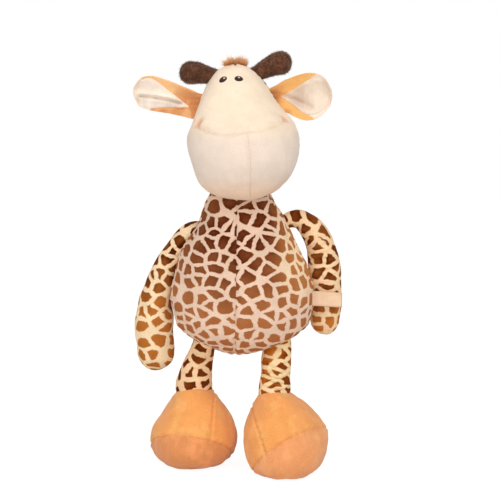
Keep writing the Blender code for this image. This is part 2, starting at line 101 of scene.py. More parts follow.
def smooth_line(points, count):
    """Even samples of a smooth curve through points of any dimension."""
    pts = np.array(points, float)
    ends = np.vstack([2 * pts[0] - pts[1], pts, 2 * pts[-1] - pts[-2]])
    fine = []
    for a, b, c, d in zip(ends, ends[1:], ends[2:], ends[3:]):
        for t in np.linspace(0, 1, 24, endpoint=False):
            bend = (2 * a - 5 * b + 4 * c - d) * t**2 + (3 * b - a - 3 * c + d) * t**3
            fine.append((2 * b + (c - a) * t + bend) / 2)
    fine = np.array(fine + [pts[-1]])
    steps = np.linalg.norm(np.diff(fine[:, :3], axis=0), axis=1)
    run = np.concatenate([[0], np.cumsum(steps)])
    wanted = np.linspace(0, run[-1], count)
    return np.stack([np.interp(wanted, run, column) for column in fine.T], axis=1)


def mesh_grid(points, faces, merge=0.0):
    """An editable mesh whose faces are all turned the same way."""
    mesh = bpy.data.meshes.new("grid")
    mesh.from_pydata([tuple(point) for point in points], [], faces)
    grid = bmesh.new()
    grid.from_mesh(mesh)
    bpy.data.meshes.remove(mesh)
    if merge:
        bmesh.ops.remove_doubles(grid, verts=grid.verts, dist=merge)
    bmesh.ops.recalc_face_normals(grid, faces=grid.faces)
    return grid


def ring_faces(start, rings, around):
    """The faces between closed rings of points, which are numbered in turn from start."""
    return [
        (a + j, a + (j + 1) % around, a + around + (j + 1) % around, a + around + j)
        for a in range(start, start + (rings - 1) * around, around) for j in range(around)
    ]


def shown(name, grid):
    """A smooth object in the scene, from an editable mesh that isn't needed any more."""
    mesh = bpy.data.meshes.new(name)
    grid.to_mesh(mesh)
    grid.free()
    mesh.shade_smooth()
    item = bpy.data.objects.new(name, mesh)
    bpy.context.scene.collection.objects.link(item)
    return item


def solid(name, points, faces):
    grid = mesh_grid(points, faces)
    if grid.calc_volume(signed=True) < 0:
        bmesh.ops.reverse_faces(grid, faces=grid.faces)
    return shown(name, grid)


def two_layers(name, front, back, row):
    """A thin closed sheet from two layers of points, which come in rows of this many."""
    count = len(front)
    rows = count // row
    faces = []
    for k in range(rows - 1):
        for j in range(row - 1):
            a = k * row + j
            faces.append((a, a + 1, a + row + 1, a + row))
            faces.append((count + a, count + a + row, count + a + row + 1, count + a + 1))
    rim = list(range(row)) + [k * row + row - 1 for k in range(1, rows)]
    rim += [(rows - 1) * row + j for j in range(row - 2, -1, -1)] + [k * row for k in range(rows - 2, 0, -1)]
    faces += [(a, b, count + b, count + a) for a, b in zip(rim, rim[1:] + rim[:1])]
    return solid(name, front + back, faces)


def skin_over(name, rings, first, last):
    """A closed mesh over rings of points, with a pole at each end, and with its cloth laid."""
    around = len(rings[0])
    points = [first] + [point for ring in rings for point in ring] + [last]
    faces = []
    end = len(points) - 1
    low = 1 + (len(rings) - 1) * around
    for j in range(around):
        k = (j + 1) % around
        faces.append((0, 1 + k, 1 + j))
        faces.append((end, low + j, low + k))
        for i in range(len(rings) - 1):
            a, b = 1 + i * around, 1 + (i + 1) * around
            faces.append((a + j, a + k, b + k, b + j))
    item = solid(name, points, faces)
    lay_cloth(item, rings)
    return item


def lay_cloth(item, rings):
    """Lays two maps over a skin, in metres round the form and along it.

    The map cloth is measured from the form's front, and back_cloth from its back.
    """
    around = len(rings[0])
    centres = np.array([np.mean(ring, axis=0) for ring in rings])
    steps = np.linalg.norm(np.diff(centres, axis=0), axis=1)
    girths = [np.linalg.norm(np.diff(np.array(ring), axis=0), axis=1).sum() for ring in rings]
    slope = np.abs(np.diff(girths)) / (2 * math.pi)
    run = np.concatenate([[0], np.cumsum(np.hypot(steps, slope))])
    back = np.argmax(np.array(rings[len(rings) // 2])[:, 1])
    corners = np.empty(len(item.data.loops), int)
    item.data.loops.foreach_get("vertex_index", corners)
    row = np.clip((corners - 1) // around, 0, len(rings) - 1)
    turn = (corners - 1 - back) % around
    sizes = [face.loop_total for face in item.data.polygons]
    owner = np.repeat(np.arange(len(sizes)), sizes)
    widest = np.zeros(len(sizes), int)
    np.maximum.at(widest, owner, turn)
    turn = np.where((turn == 0) & (widest[owner] > around // 2), around, turn)
    pole = (corners == 0) | (corners == corners.max())
    share = np.where(pole, widest[owner], turn) / around
    for name, part in (("cloth", share - 0.5), ("back_cloth", share - np.round(share))):
        layer = item.data.uv_layers.new(name=name)
        across = part * np.array(girths)[row]
        layer.data.foreach_set("uv", np.stack([across, run[row]], axis=1).ravel())


def stuffed_form(name, top, bottom, left, right, front, back, rings, around):
    """A closed form through four profiles, each from the top point to the bottom one."""
    sides = []
    for points, k in ((left, 0), (right, 0), (front, 1), (back, 1)):
        line = [(top[k], top[2])] + points + [(bottom[k], bottom[2])]
        sides.append(smooth_line(line, rings + 2)[1:-1])
    made = []
    for (lx, lz), (rx, rz), (fy, fz), (by, bz) in zip(*sides):
        ring = []
        for angle in np.linspace(0, 2 * math.pi, around, endpoint=False):
            c, s = math.cos(angle), math.sin(angle)
            x = (lx + rx) / 2 + (rx - lx) / 2 * c
            y = (fy + by) / 2 + (by - fy) / 2 * s
            z = (rz if c > 0 else lz) * c * c + (bz if s > 0 else fz) * s * s
            ring.append(place(x, y, z))
        made.append(ring)
    return skin_over(name, made, place(*top), place(*bottom))


def limb(name, stations, rings, around, cap_rings=9):
    """A round-ended limb along stations of (x, y, z, half width, half depth)."""
    line = smooth_line(stations, rings)
    runs = np.gradient(line[:, :3], axis=0)
    runs /= np.linalg.norm(runs, axis=1)[:, None]
    turns = np.linspace(0, 2 * math.pi, around, endpoint=False)
    lifts = [math.pi / 2 * k / (cap_rings + 1) for k in range(1, cap_rings + 1)]

    def ring(row, run, sign=1, lift=0.0):
        """The ring at a station, or at a lift up to a right angle over the round end there."""
        centre = row[:3] + sign * run * row[3] * math.sin(lift)
        side = np.cross((0.0, 1.0, 0.0), run)
        side /= np.linalg.norm(side)
        wide, deep = side * (row[3] * math.cos(lift)), np.cross(run, side) * (row[4] * math.cos(lift))
        return [place(*(centre + (wide * math.cos(turn) + deep * math.sin(turn)))) for turn in turns]

    made = [ring(line[0], runs[0], -1, lift) for lift in reversed(lifts)]
    made += [ring(row, run) for row, run in zip(line, runs)]
    made += [ring(line[-1], runs[-1], 1, lift) for lift in lifts]
    first = place(*(line[0, :3] - runs[0] * line[0, 3]))
    last = place(*(line[-1, :3] + runs[-1] * line[-1, 3]))
    return skin_over(name, made, first, last)


# Sculpting


def points_of(item, what="co"):
    """All points of a form as rows, or with "normal" the normals there."""
    flat = np.empty(len(item.data.vertices) * 3)
    item.data.vertices.foreach_get(what, flat)
    return flat.reshape(-1, 3)


def put_points(item, points):
    item.data.vertices.foreach_set("co", points.ravel())
    item.data.update()


def move_out(item, amount):
    """Moves each point along its normal by its own amount, in metres."""
    put_points(item, points_of(item) + points_of(item, "normal") * amount[:, None])


def waves(points, size, seed):
    """Smooth noise, mostly between -1 and 1, with features of a given size in metres."""
    mixer = np.random.default_rng(seed)
    total = np.zeros(len(points))
    for _ in range(14):
        axis = mixer.normal(size=3)
        axis /= np.linalg.norm(axis)
        rate = 2 * math.pi / (size * mixer.uniform(0.7, 1.6))
        total += np.sin(points @ axis * rate + mixer.uniform(0, 2 * math.pi))
    return total / 5


def near_line(points, line):
    """Distance to a line, and how far along it the nearest place is."""
    best = np.full(len(points), 1e9)
    along = np.zeros(len(points))
    run = 0.0
    for a, b in zip(line, line[1:]):
        step = b - a
        length = np.linalg.norm(step)
        t = np.clip((points - a) @ step / length**2, 0, 1)
        gap = np.linalg.norm(points - (a + t[:, None] * step), axis=1)
        closer = gap < best
        best[closer] = gap[closer]
        along[closer] = run + t[closer] * length
        run += length
    return best, along


def sew(item, line, depth=0.9, width=1.0, pucker=0.25, pitch=5.5):
    """Draws a form in along a seam, with rounded lips and small puckers across it."""
    depth, width, pucker, pitch = depth * mm, width * mm, pucker * mm, pitch * mm
    points = points_of(item)
    gap, along = near_line(points, line)
    dip = -depth * np.exp(-((gap / width) ** 2))
    lips = depth * 0.4 * np.exp(-(((gap - 2.6 * width) / (1.6 * width)) ** 2))
    ripple = np.cos(2 * math.pi * along / pitch + 3 * waves(points, 22 * mm, 5))
    dip += lips + pucker * ripple * np.exp(-((gap / (3.4 * width)) ** 2))
    move_out(item, dip)


def crumple(item, seed, size, depth):
    """The soft unevenness of stuffed cloth."""
    size, depth = size * mm, depth * mm
    points = points_of(item)
    amount = depth * waves(points, size, seed) + 0.3 * depth * waves(points, size / 3, seed + 1)
    move_out(item, amount)


def wrinkle(item, centre, across, reach, pitch, depth, seed):
    """Folds that run square to a direction, strongest at a centre and on the front."""
    across = np.array(across) / np.linalg.norm(across)
    points = points_of(item)
    offset = points - centre
    phase = offset @ across * 2 * math.pi / (pitch * mm) + 2.2 * waves(points, 20 * mm, seed)
    fade = np.exp(-(np.linalg.norm(offset, axis=1) / (reach * mm)) ** 2)
    fold = 1 - 2 * np.abs(np.sin(phase / 2)) ** 0.7
    facing = np.clip(-points_of(item, "normal")[:, 1], 0, 1)
    move_out(item, -depth * mm * fold * fade * facing)


def dent(item, centre, reach, depth):
    gap = np.linalg.norm(points_of(item) - centre, axis=1)
    move_out(item, -depth * mm * np.exp(-((gap / (reach * mm)) ** 2)))


def tree_of(item):
    return BVHTree.FromPolygons(
        [vert.co for vert in item.data.vertices], [face.vertices[:] for face in item.data.polygons]
    )


def met(rays):
    """The places where rays meet their forms, without those that miss."""
    return np.array([np.array(spot) for spot, *_ in rays if spot is not None])


def seen_at(item, pixels, count=60):
    """The smooth line on a form's front that the camera sees through these pixels."""
    tree = tree_of(item)
    return met([tree.ray_cast(camera_place, pixel_ray(*pixel)) for pixel in smooth_line(pixels, count)])


def spot_at(item, pixel):
    """The place on a form under a pixel, or the nearest one where the pixel misses it."""
    tree = tree_of(item)
    ray = pixel_ray(*pixel)
    spot = tree.ray_cast(camera_place, ray)[0]
    if spot is None:
        middle = Vector(points_of(item).mean(axis=0))
        spot = tree.find_nearest(camera_place + ray * (middle - camera_place).dot(ray))[0]
    return np.array(spot)


def on_form(item, guides, centre):
    """The line on a form under a guide line, seen from a centre inside the form."""
    tree = tree_of(item)
    rays = []
    for guide in smooth_line(guides, 40):
        away = Vector(guide) - Vector(centre)
        rays.append(tree.ray_cast(Vector(guide) + away, -away))
    return met(rays)


def from_front(tree, point):
    """What a ray from far ahead of the toy meets at a point's height and width."""
    return tree.ray_cast(Vector((point[0], -0.2, point[2])), Vector((0, 1, 0)))


def panel_seam(item, point, normal):
    """Splits a form along a plane, and gives the closed line where the two panels meet."""
    grid = bmesh.new()
    grid.from_mesh(item.data)
    parts = grid.verts[:] + grid.edges[:] + grid.faces[:]
    cut = bmesh.ops.bisect_plane(grid, geom=parts, dist=1e-6, plane_co=point, plane_no=normal)
    line = np.array([np.array(part.co) for part in cut["geom_cut"] if isinstance(part, bmesh.types.BMVert)])
    grid.to_mesh(item.data)
    grid.free()
    first = np.cross(normal, (0.3, 0.2, 0.9))
    second = np.cross(normal, first)
    offset = line - line.mean(axis=0)
    line = line[np.argsort(np.arctan2(offset @ second, offset @ first))]
    return np.vstack([line, line[:1]])


def part_of(line, keep):
    """The one run of a closed line where keep is true."""
    line, keep = line[:-1], keep[:-1]
    start = next(k for k in range(len(line)) if keep[k] and not keep[k - 1])
    return np.roll(line, -start, axis=0)[: keep.sum()]


def plane_through(a, b, c):
    """A plane as one of its points and its normal."""
    normal = np.cross(b - a, c - a)
    return a, normal / np.linalg.norm(normal)


def sunk_line(item, line):
    """The line moved onto the form again, after its seam has drawn the cloth in."""
    tree = tree_of(item)
    return np.array([tree.find_nearest(Vector(point))[0] for point in line])


def stitches(name, item, line, body, finish, length=2.1, pitch=3.0, thick=0.28):
    """Short threads laid end to end along a seam, half sunk in the cloth."""
    line = sunk_line(item, line)
    tree = tree_of(item)
    total = np.linalg.norm(np.diff(line, axis=0), axis=1).sum()
    count = max(2, int(total / (pitch * mm)))
    spots = smooth_line(line, count * 2 + 1)
    size = Matrix.Diagonal((length * mm / 2, thick * mm, thick * mm, 1))
    grid = bmesh.new()
    for k in range(count):
        middle = Vector(spots[2 * k + 1])
        run = Vector(spots[2 * k + 2] - spots[2 * k]).normalized()
        normal = tree.find_nearest(middle)[1]
        across = normal.cross(run).normalized()
        turn = Matrix((run, across, across.cross(run) * -1)).transposed().to_4x4()
        made = bmesh.ops.create_uvsphere(grid, u_segments=8, v_segments=6, radius=1)
        bmesh.ops.transform(grid, matrix=Matrix.Translation(middle) @ turn @ size, verts=made["verts"])
    bmesh.ops.recalc_face_normals(grid, faces=grid.faces)
    use(shown(name, grid), body, "thread", finish)


# Materials


def linear(colour):
    """A colour given as it shows on a screen, from 0 to 255."""
    values = [c / 255 for c in colour]
    return tuple(c / 12.92 if c <= 0.04045 else ((c + 0.055) / 1.055) ** 2.4 for c in values) + (1,)


class Nodes:
    """A node tree that is built one step at a time."""

    def __init__(self, tree):
        self.tree = tree

    def add(self, kind, inputs=None, **settings):
        node = self.tree.nodes.new(kind)
        for key, value in settings.items():
            setattr(node, key, value)
        for key, value in (inputs or {}).items():
            self.feed(node.inputs[key], value)
        return node

    def feed(self, socket, value):
        if isinstance(value, bpy.types.NodeSocket):
            self.tree.links.new(value, socket)
        else:
            socket.default_value = value


class Cloth(Nodes):
    """A cloth's material. Its noises and reaches are in millimetres."""

    def __init__(self, name, roughness=0.92, sheen=0.25, specular=0.15):
        self.material = bpy.data.materials.new(name)
        self.material.use_nodes = True
        super().__init__(self.material.node_tree)
        self.shader = self.tree.nodes["Principled BSDF"].inputs
        self.shader["Roughness"].default_value = roughness
        self.shader["Specular IOR Level"].default_value = specular
        self.shader["Sheen Weight"].default_value = sheen
        self.shader["Sheen Roughness"].default_value = 0.45
        self.where = self.add("ShaderNodeTexCoord").outputs["Object"]

    def math(self, operation, a, b, clamp=False):
        return self.add("ShaderNodeMath", {0: a, 1: b}, operation=operation, use_clamp=clamp).outputs[0]

    def plus(self, a, b, clamp=False):
        return self.math("ADD", a, b, clamp)

    def minus(self, a, b):
        return self.math("SUBTRACT", a, b)

    def times(self, a, b):
        return self.math("MULTIPLY", a, b)

    def noise(self, size, detail=3.0, where=None, output="Fac"):
        inputs = {"Vector": where or self.where, "Scale": 1 / (size * mm), "Detail": detail}
        return self.add("ShaderNodeTexNoise", inputs).outputs[output]

    def between(self, value, low, high):
        """0 below low, 1 above high, and smooth in between."""
        inputs = {"Value": value, "From Min": low, "From Max": high}
        return self.add("ShaderNodeMapRange", inputs, interpolation_type="SMOOTHSTEP").outputs["Result"]

    def mix(self, factor, a, b, how="MIX"):
        inputs = {"Factor": factor, 6: a, 7: b}
        return self.add("ShaderNodeMix", inputs, data_type="RGBA", blend_type=how).outputs[2]

    def darker(self, colour, *shares):
        """A colour whose red, green and blue are lowered by these shares."""
        return self.mix(1.0, colour, tuple(1 - share for share in shares) + (1,), "MULTIPLY")

    def moved(self, shift=(0, 0, 0), scale=(1, 1, 1), where=None):
        inputs = {"Vector": where or self.where, "Location": shift, "Scale": scale}
        return self.add("ShaderNodeMapping", inputs).outputs["Vector"]

    def along(self, axis):
        return self.add("ShaderNodeSeparateXYZ", {0: self.where}).outputs[axis]

    def near(self, point, reach):
        """1 at a point, falling to 0 at its reach."""
        node = self.add("ShaderNodeVectorMath", {0: self.where, 1: tuple(point)}, operation="DISTANCE")
        return self.between(node.outputs["Value"], reach * mm, 0.15 * reach * mm)

    def paint_shade(self, colour, other, spots):
        """Paints shade: turns a colour mostly into a shade colour around these spots."""
        for spot, reach in spots:
            colour = self.mix(self.times(self.near(spot, reach), 0.85), colour, linear(other))
        return colour

    def paint(self, colour):
        self.feed(self.shader["Base Color"], colour)

    def emboss(self, height, strength, distance):
        inputs = {"Strength": strength, "Distance": distance * mm, "Height": height}
        self.feed(self.shader["Normal"], self.add("ShaderNodeBump", inputs).outputs["Normal"])

    def nap(self, colour, pile=0.7, brush=0.10, grain=0.16, patch=14):
        """Short pile: a fine grain, and wider patches where it lies another way."""
        fine = self.between(self.noise(pile), 0.30, 0.70)
        wide = self.between(self.noise(patch, 2.0), 0.35, 0.65)
        grained = self.mix(fine, self.darker(colour, grain, grain, grain), colour)
        brushed = self.darker(grained, brush, brush * 1.1, brush * 1.3)
        self.paint(self.mix(wide, brushed, grained))
        self.emboss(self.plus(self.times(fine, 0.6), self.noise(0.35)), 0.55, 0.35)
        return self.material


def plain_plush(name, colour, **nap):
    return Cloth(name).nap(linear(colour), **nap)


def shaded_plush(name, colour, shade, shade_places=(), grain=0.12, streak=0.8):
    """Plush that turns to its shade around the places named, with lighter streaks."""
    cloth = Cloth(name)
    tone = cloth.paint_shade(linear(colour), shade, shade_places)
    streaks = cloth.between(cloth.noise(11, 2.0, cloth.moved(scale=(1, 1, 0.5))), 0.48, 0.66)
    light = linear([min(255, c * 1.04 + 9) for c in colour])
    return cloth.nap(cloth.mix(cloth.times(streaks, streak), tone, light), brush=0.06, grain=grain)


body_net, shaded_net, warm_lit_net = (243, 214, 193), (229, 199, 178), (255, 228, 190)
dark_spot, mid_spot, pale_spot = (80, 23, 1), (136, 76, 38), (180, 112, 68)
lit_and_rim_spot, lit_gold_spot = (208, 134, 74), (186, 112, 48)
# Under the head, near these places, the body's net is painted in shade and its patches grow darker and larger
front_dark = (place(-2, -38, 206), 92)
back_dark = (place(0, 36, 196), 92)

# The print's patches, in shares of a cell
cell_spread = 0.93
corner_reach, corner_slope = 0.56, 0.7
ragged = 0.07
dark_growth = 0.036
rim_edge, patch_edge, heart_edge = (-0.040, 0.004), (-0.014, 0.030), (0.05, 0.26)

# The body's print is painted warmer towards the viewer's right, above the belly, as painted warm light from
# that side
lit_side_span = (axis_x + 22 * mm, axis_x + 48 * mm)
lit_height_span = (0.135, 0.175)


def printed_plush(name, net, dark, pale, shift, cell=12.4, line=3.3,
                  fade=None, dark_place=None, squeeze=(0.93, 1.12, 1), lie="cloth"):
    """Rounded brown patches in a pale net, printed on the flat cloth.

    The patches turn from dark to pale over a range of heights, or away from a dark place.
    """
    cloth = Cloth(name, sheen=0, specular=0.05)
    flat = cloth.add("ShaderNodeUVMap", uv_map=lie).outputs["UV"]
    wander = {0: cloth.noise(8, 2.0, flat, "Color"), "Scale": 5.0 * mm}
    wander = cloth.add("ShaderNodeVectorMath", wander, operation="SCALE").outputs["Vector"]
    moved = {0: cloth.moved(shift, squeeze, flat), 1: wander}
    moved = cloth.add("ShaderNodeVectorMath", moved, operation="ADD").outputs["Vector"]
    cells = {"Vector": moved, "Scale": 1 / (cell * mm), "Randomness": cell_spread}
    middle, edge = [
        cloth.add("ShaderNodeTexVoronoi", cells, feature=feature, voronoi_dimensions="2D").outputs["Distance"]
        for feature in ("F1", "DISTANCE_TO_EDGE")
    ]
    edge = cloth.minus(edge, line / 2 / cell)
    corner = cloth.times(cloth.minus(corner_reach, middle), corner_slope)
    fray = cloth.times(cloth.minus(cloth.noise(3.5, 2.0, flat), 0.5), ragged)
    inside = cloth.plus(cloth.math("MINIMUM", edge, corner), fray)
    lighter = cloth.between(cloth.noise(16, 2.0), 0.36, 0.72)
    if fade:
        low, high = fade
        height = cloth.between(cloth.along("Z"), high, low)
        lighter = cloth.plus(cloth.times(lighter, 0.45), height, clamp=True)
    if dark_place:
        near = cloth.near(*dark_place)
        away = cloth.minus(1.0, near)
        inside = cloth.plus(inside, cloth.times(near, dark_growth))
        lighter = cloth.plus(cloth.times(lighter, 0.18), away, clamp=True)
    brown = cloth.mix(lighter, linear(dark), linear(pale))
    heart = cloth.times(cloth.between(inside, *heart_edge), 0.10)
    brown = cloth.mix(heart, brown, linear(pale))
    ground = linear(net)
    if dark_place:
        # Painted shade: near the dark place the net turns to its shaded tone
        ground = cloth.mix(away, linear(shaded_net), ground)
        # Painted warm light: on the viewer's right, above the belly, the net and the patches are painted
        # warmer
        side = cloth.between(cloth.along("X"), *lit_side_span)
        side = cloth.times(side, cloth.between(cloth.along("Z"), *lit_height_span))
        brown = cloth.mix(cloth.times(side, 0.75), brown, linear(lit_and_rim_spot))
        ground = cloth.mix(side, ground, linear(warm_lit_net))
    rim = cloth.mix(0.45, linear(net), linear(lit_and_rim_spot))
    ground = cloth.mix(cloth.between(inside, *rim_edge), ground, rim)
    patch = cloth.between(inside, *patch_edge)
    return cloth.nap(cloth.mix(patch, ground, brown), brush=0.08)


def body_print(name, shift, dark_place=front_dark, lie="cloth"):
    return printed_plush(
        name, body_net, dark_spot, pale_spot, shift, line=3.9, dark_place=dark_place, lie=lie
    )


finishes = {
    "body_front_left": body_print("print_front_left", (0, 0, 0)),
    "body_front_right": body_print("print_front_right", (0.31, 0.17, 0)),
    "body_back_left": body_print("print_back_left", (0.11, 0.3, 0), back_dark, "back_cloth"),
    "body_back_right": body_print("print_back_right", (0.23, 0.4, 0), back_dark, "back_cloth"),
    "head_back": printed_plush("print_head", body_net, dark_spot, mid_spot, (0.05, 0.2, 0), lie="back_cloth"),
    # Painted warm light: the arms' and legs' nets, and the arms' and right leg's pale patches, are printed
    # warmer than the body's; under the right hand it is painted warm bounce light
    "left_arm": printed_plush(
        "print_left_arm", warm_lit_net, dark_spot, lit_gold_spot, (0.5, 0.03, 0), line=3.5, fade=(0.120, 0.170)
    ),
    "right_arm": printed_plush(
        "print_right_arm", (255, 221, 180), (94, 36, 6), (200, 120, 52), (0.7, 0.1, 0), cell=11.5,
        line=3.6, fade=(0.112, 0.150)
    ),
    "left_leg": printed_plush(
        "print_left_leg", (255, 219, 176), (102, 42, 8), (134, 66, 20), (0.9, 0.1, 0), cell=12, line=4.3
    ),
    "right_leg": printed_plush(
        "print_right_leg", (255, 226, 178), (130, 58, 10), (208, 118, 42), (0.2, 0.6, 0), cell=11.5,
        line=3.8, squeeze=(0.78, 1.3, 1)
    ),
    "tail": printed_plush("print_tail", body_net, dark_spot, mid_spot, (0.3, 0.3, 0), cell=9, line=2.2),
    "brown": plain_plush("horn_plush", (124, 80, 58), pile=1.3, brush=0.46, grain=0.62, patch=6),
    "ear_tip": plain_plush("lining_plush", (248, 230, 214), brush=0.07, grain=0.07),
    "cream_thread": plain_plush("cream_thread", (244, 222, 196)),
    "horn_thread": plain_plush("horn_thread", (168, 116, 84)),
    "chin_thread": plain_plush("chin_thread", (226, 178, 140)),
    "orange_thread": plain_plush("orange_thread", (220, 144, 82)),
}


def use(item, body, slot, *materials):
    for material in materials:
        item.data.materials.append(material)
    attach(item, body)


# Head


chin_height, orange_bounce_height = (0.292, 0.276), (0.252, 0.234)


def make_face_cloth():
    """The face is a warm cream and the chin cooler; the chin's foot is painted warm again as a painted
    reflection of warm light from below, and the dimples orange-pink as painted shade.
    """
    cloth = Cloth("face_plush")
    height = cloth.along("Z")
    chin = cloth.between(height, *chin_height)
    colour = cloth.mix(chin, linear((250, 231, 208)), linear((236, 219, 206)))
    # Painted reflection: the chin's foot is painted warm, as warm light thrown up from below
    low = cloth.between(height, *orange_bounce_height)
    colour = cloth.mix(cloth.times(low, 0.8), colour, linear((255, 220, 190)))
    # The dimples' orange-pink is painted shade
    return cloth.nap(cloth.paint_shade(colour, (233, 164, 118), cheek_places), brush=0.05, grain=0.11)


mouth_pixels = [(197, 127), (200, 128.5), (206, 131), (220, 134), (235, 133), (249, 131), (263.5, 129),
                (276, 126), (286, 120)]
chin_pixels = [(247.5, 134), (249.5, 150), (250.6, 169), (250.6, 197)]
head_side = 4.2

head_form = stuffed_form(
    "head_cover", top=(-3.5, 10, 338.6), bottom=(3.3, -5, 226.8),
    left=[(-13, 336.6), (-20, 332.5), (-27, 323.5), (-31.8, 313.8), (-35.4, 303.8), (-40, 292),
          (-43.8, 281.5), (-44, 270.5), (-40.2, 255.6), (-33.6, 241), (-19, 230.4)],
    right=[(5, 336.4), (11.5, 332.2), (18, 326), (23.6, 318.4), (28.9, 309.3), (34.3, 301.6), (40.2, 295.6),
           (45.6, 287.4), (48, 275.5), (46.8, 261), (39.5, 245.6), (23, 231.4)],
    front=[(-2, 335.6), (-10, 330), (-18, 321), (-28, 309), (-38, 299), (-48, 290), (-55.5, 281),
           (-60, 270), (-60.5, 258), (-55, 245), (-42, 234.8), (-23, 228.1)],
    back=[(21, 336.2), (30, 330), (36, 319), (39, 304), (39.6, 285), (39, 266), (35.5, 248), (27, 236),
          (12, 229)],
    rings=110, around=168,
)
# The dimples at the mouth's ends: dented, and painted orange-pink as painted shade in their hollows
cheek_places = [(spot_at(head_form, (198, 123)), 7.5), (spot_at(head_form, (285, 118)), 6.0)]


def make_head():
    crumple(head_form, seed=11, size=34, depth=0.45)
    mouth = seen_at(head_form, mouth_pixels)
    chin = seen_at(head_form, chin_pixels)
    side_plane = (Vector(place(0, head_side, 285)), Vector((0.14, 1, -0.10)).normalized())
    side_seam = panel_seam(head_form, *side_plane)
    nape_seam = panel_seam(head_form, Vector(place(-2, 0, 285)), Vector((1, 0, 0.05)).normalized())
    nape_seam = part_of(nape_seam, nape_seam[:, 1] > axis_y + head_side * mm)
    sew(head_form, mouth, depth=1.7, width=1.4, pucker=0.40, pitch=4.4)
    sew(head_form, chin, depth=0.8, width=0.7, pucker=0.10)
    sew(head_form, side_seam, depth=1.2, width=1.3, pucker=0.28)
    sew(head_form, nape_seam, depth=1.0, width=1.1)
    for spot, _ in cheek_places:
        dent(head_form, spot, reach=4.6, depth=2.6)
    use(head_form, "head", "cream", make_face_cloth(), finishes["head_back"])
    for face in head_form.data.polygons:
        face.material_index = int((face.center - side_plane[0]).dot(side_plane[1]) > 0)
    panels = ("face_panel", "chin_left", "chin_right", "head_back_left", "head_back_right")
    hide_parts(*panels, "head_stuffing")
    stitches("mouth_stitches", head_form, mouth, "head", finishes["cream_thread"], thick=0.13)
    stitches(
        "chin_stitches", head_form, chin, "head", finishes["chin_thread"], length=1.8, pitch=2.0, thick=0.13
    )


def satin(name, colour):
    """Embroidery thread: fine parallel ridges with a soft shine, and painted shade between them."""
    cloth = Cloth(name, roughness=0.55, sheen=0, specular=0.25)
    inputs = {"Vector": cloth.where, "Scale": 1 / (2.2 * mm), "Distortion": 1.5}
    ridges = cloth.add("ShaderNodeTexWave", inputs, wave_type="BANDS", bands_direction="X").outputs["Fac"]
    base = linear(colour)
    # Painted shade: the grooves between the ridges are painted darker
    darker = tuple(c * 0.55 for c in base[:3]) + (1,)
    cloth.paint(cloth.mix(ridges, darker, base))
    cloth.emboss(ridges, 0.6, 0.15)
    return cloth.material


eye_dark = satin("eye_thread", (50, 22, 16))
eye_pale = satin("glint_thread", (244, 222, 200))


def make_eye(side, pixel, glint_pixel, tilt):
    """A padded oval of satin stitch with a small pale glint."""
    tree = tree_of(head_form)
    spot, normal = tree.ray_cast(camera_place, pixel_ray(*pixel))[:2]
    glint = tree.ray_cast(camera_place, pixel_ray(*glint_pixel))[0]
    across = Vector((math.cos(tilt), 0, math.sin(tilt)))
    across = (across - normal * across.dot(normal)).normalized()
    up = normal.cross(across) * -1
    around = 28
    sunk = 0.15 * mm
    # Place, half width, half height, how far it stands out, finish and rings
    pieces = {"satin": (spot, 3.75, 3.05, 1.1, eye_dark, 7), "glint": (glint, 1.25, 0.95, 1.5, eye_pale, 4)}
    for part, (middle, wide, high, proud, finish, rings) in pieces.items():
        wide, high, proud = wide * mm, high * mm, proud * mm
        points = []
        for k in range(rings + 1):
            share = k / rings
            for j in range(around):
                turn = 2 * math.pi * j / around
                flat = middle + across * wide * share * math.cos(turn) + up * high * share * math.sin(turn)
                foot = tree.find_nearest(flat)[0]
                points.append(foot + normal * (proud * (1 - share**2.4) ** 0.5 - sunk))
        grid = mesh_grid(points, ring_faces(0, rings + 1, around), merge=1e-6)
        if sum(face.normal.dot(normal) for face in grid.faces) < 0:
            bmesh.ops.reverse_faces(grid, faces=grid.faces)
        item = shown(f"{side}_eye_{part}", grid)
        use(item, "head", "thread", finish)
        if part == "satin":
            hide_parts(f"{side}_eye")


# Fur


def fur_cloth(name, root, tip):
    """Strands that turn paler towards their ends."""
    cloth = Cloth(name, roughness=0.8, sheen=0.15)
    share = cloth.add("ShaderNodeAttribute", attribute_name="strand").outputs["Fac"]
    tone = cloth.between(cloth.noise(2.5), 0.3, 0.7)
    colour = cloth.mix(tone, linear([c * 0.82 for c in root]), linear(root))
    cloth.paint(cloth.mix(cloth.between(share, 0.45, 1.0), colour, linear(tip)))
    return cloth.material


def strands(name, rows, thick, body, finish, seed, droop=0.0, steps=5, slot="fur"):
    """Tapered strands of three sides, bending a little each its own way.

    Each row is a strand's foot, the way that it points, and its length in metres.
    """
    bending, taper = 0.28, 0.75
    mixer = np.random.default_rng(seed)
    points, faces, shares = [], [], []
    for foot, away, length in rows:
        away = away / np.linalg.norm(away)
        bend = mixer.normal(size=3) * bending
        bend[2] -= droop
        side = np.cross(away, mixer.normal(size=3))
        side /= np.linalg.norm(side)
        other = np.cross(away, side)
        start = len(points)
        for k in range(steps):
            t = k / (steps - 1)
            middle = foot + away * length * t + bend * length * t * t
            radius = thick * mm * (1 - taper * t)
            for j in range(3):
                turn = 2 * math.pi * j / 3
                points.append(middle + radius * (side * math.cos(turn) + other * math.sin(turn)))
                shares.append(t)
        last = start + 3 * (steps - 1)
        faces += ring_faces(start, steps, 3) + [(start + 2, start + 1, start), (last, last + 1, last + 2)]
    item = shown(name, mesh_grid(points, faces))
    item.data.attributes.new("strand", "FLOAT", "POINT").data.foreach_set("value", shares)
    use(item, body, slot, finish)
    return item


horn_pile = fur_cloth("horn_pile", (96, 62, 46), (140, 100, 80))


# Ears

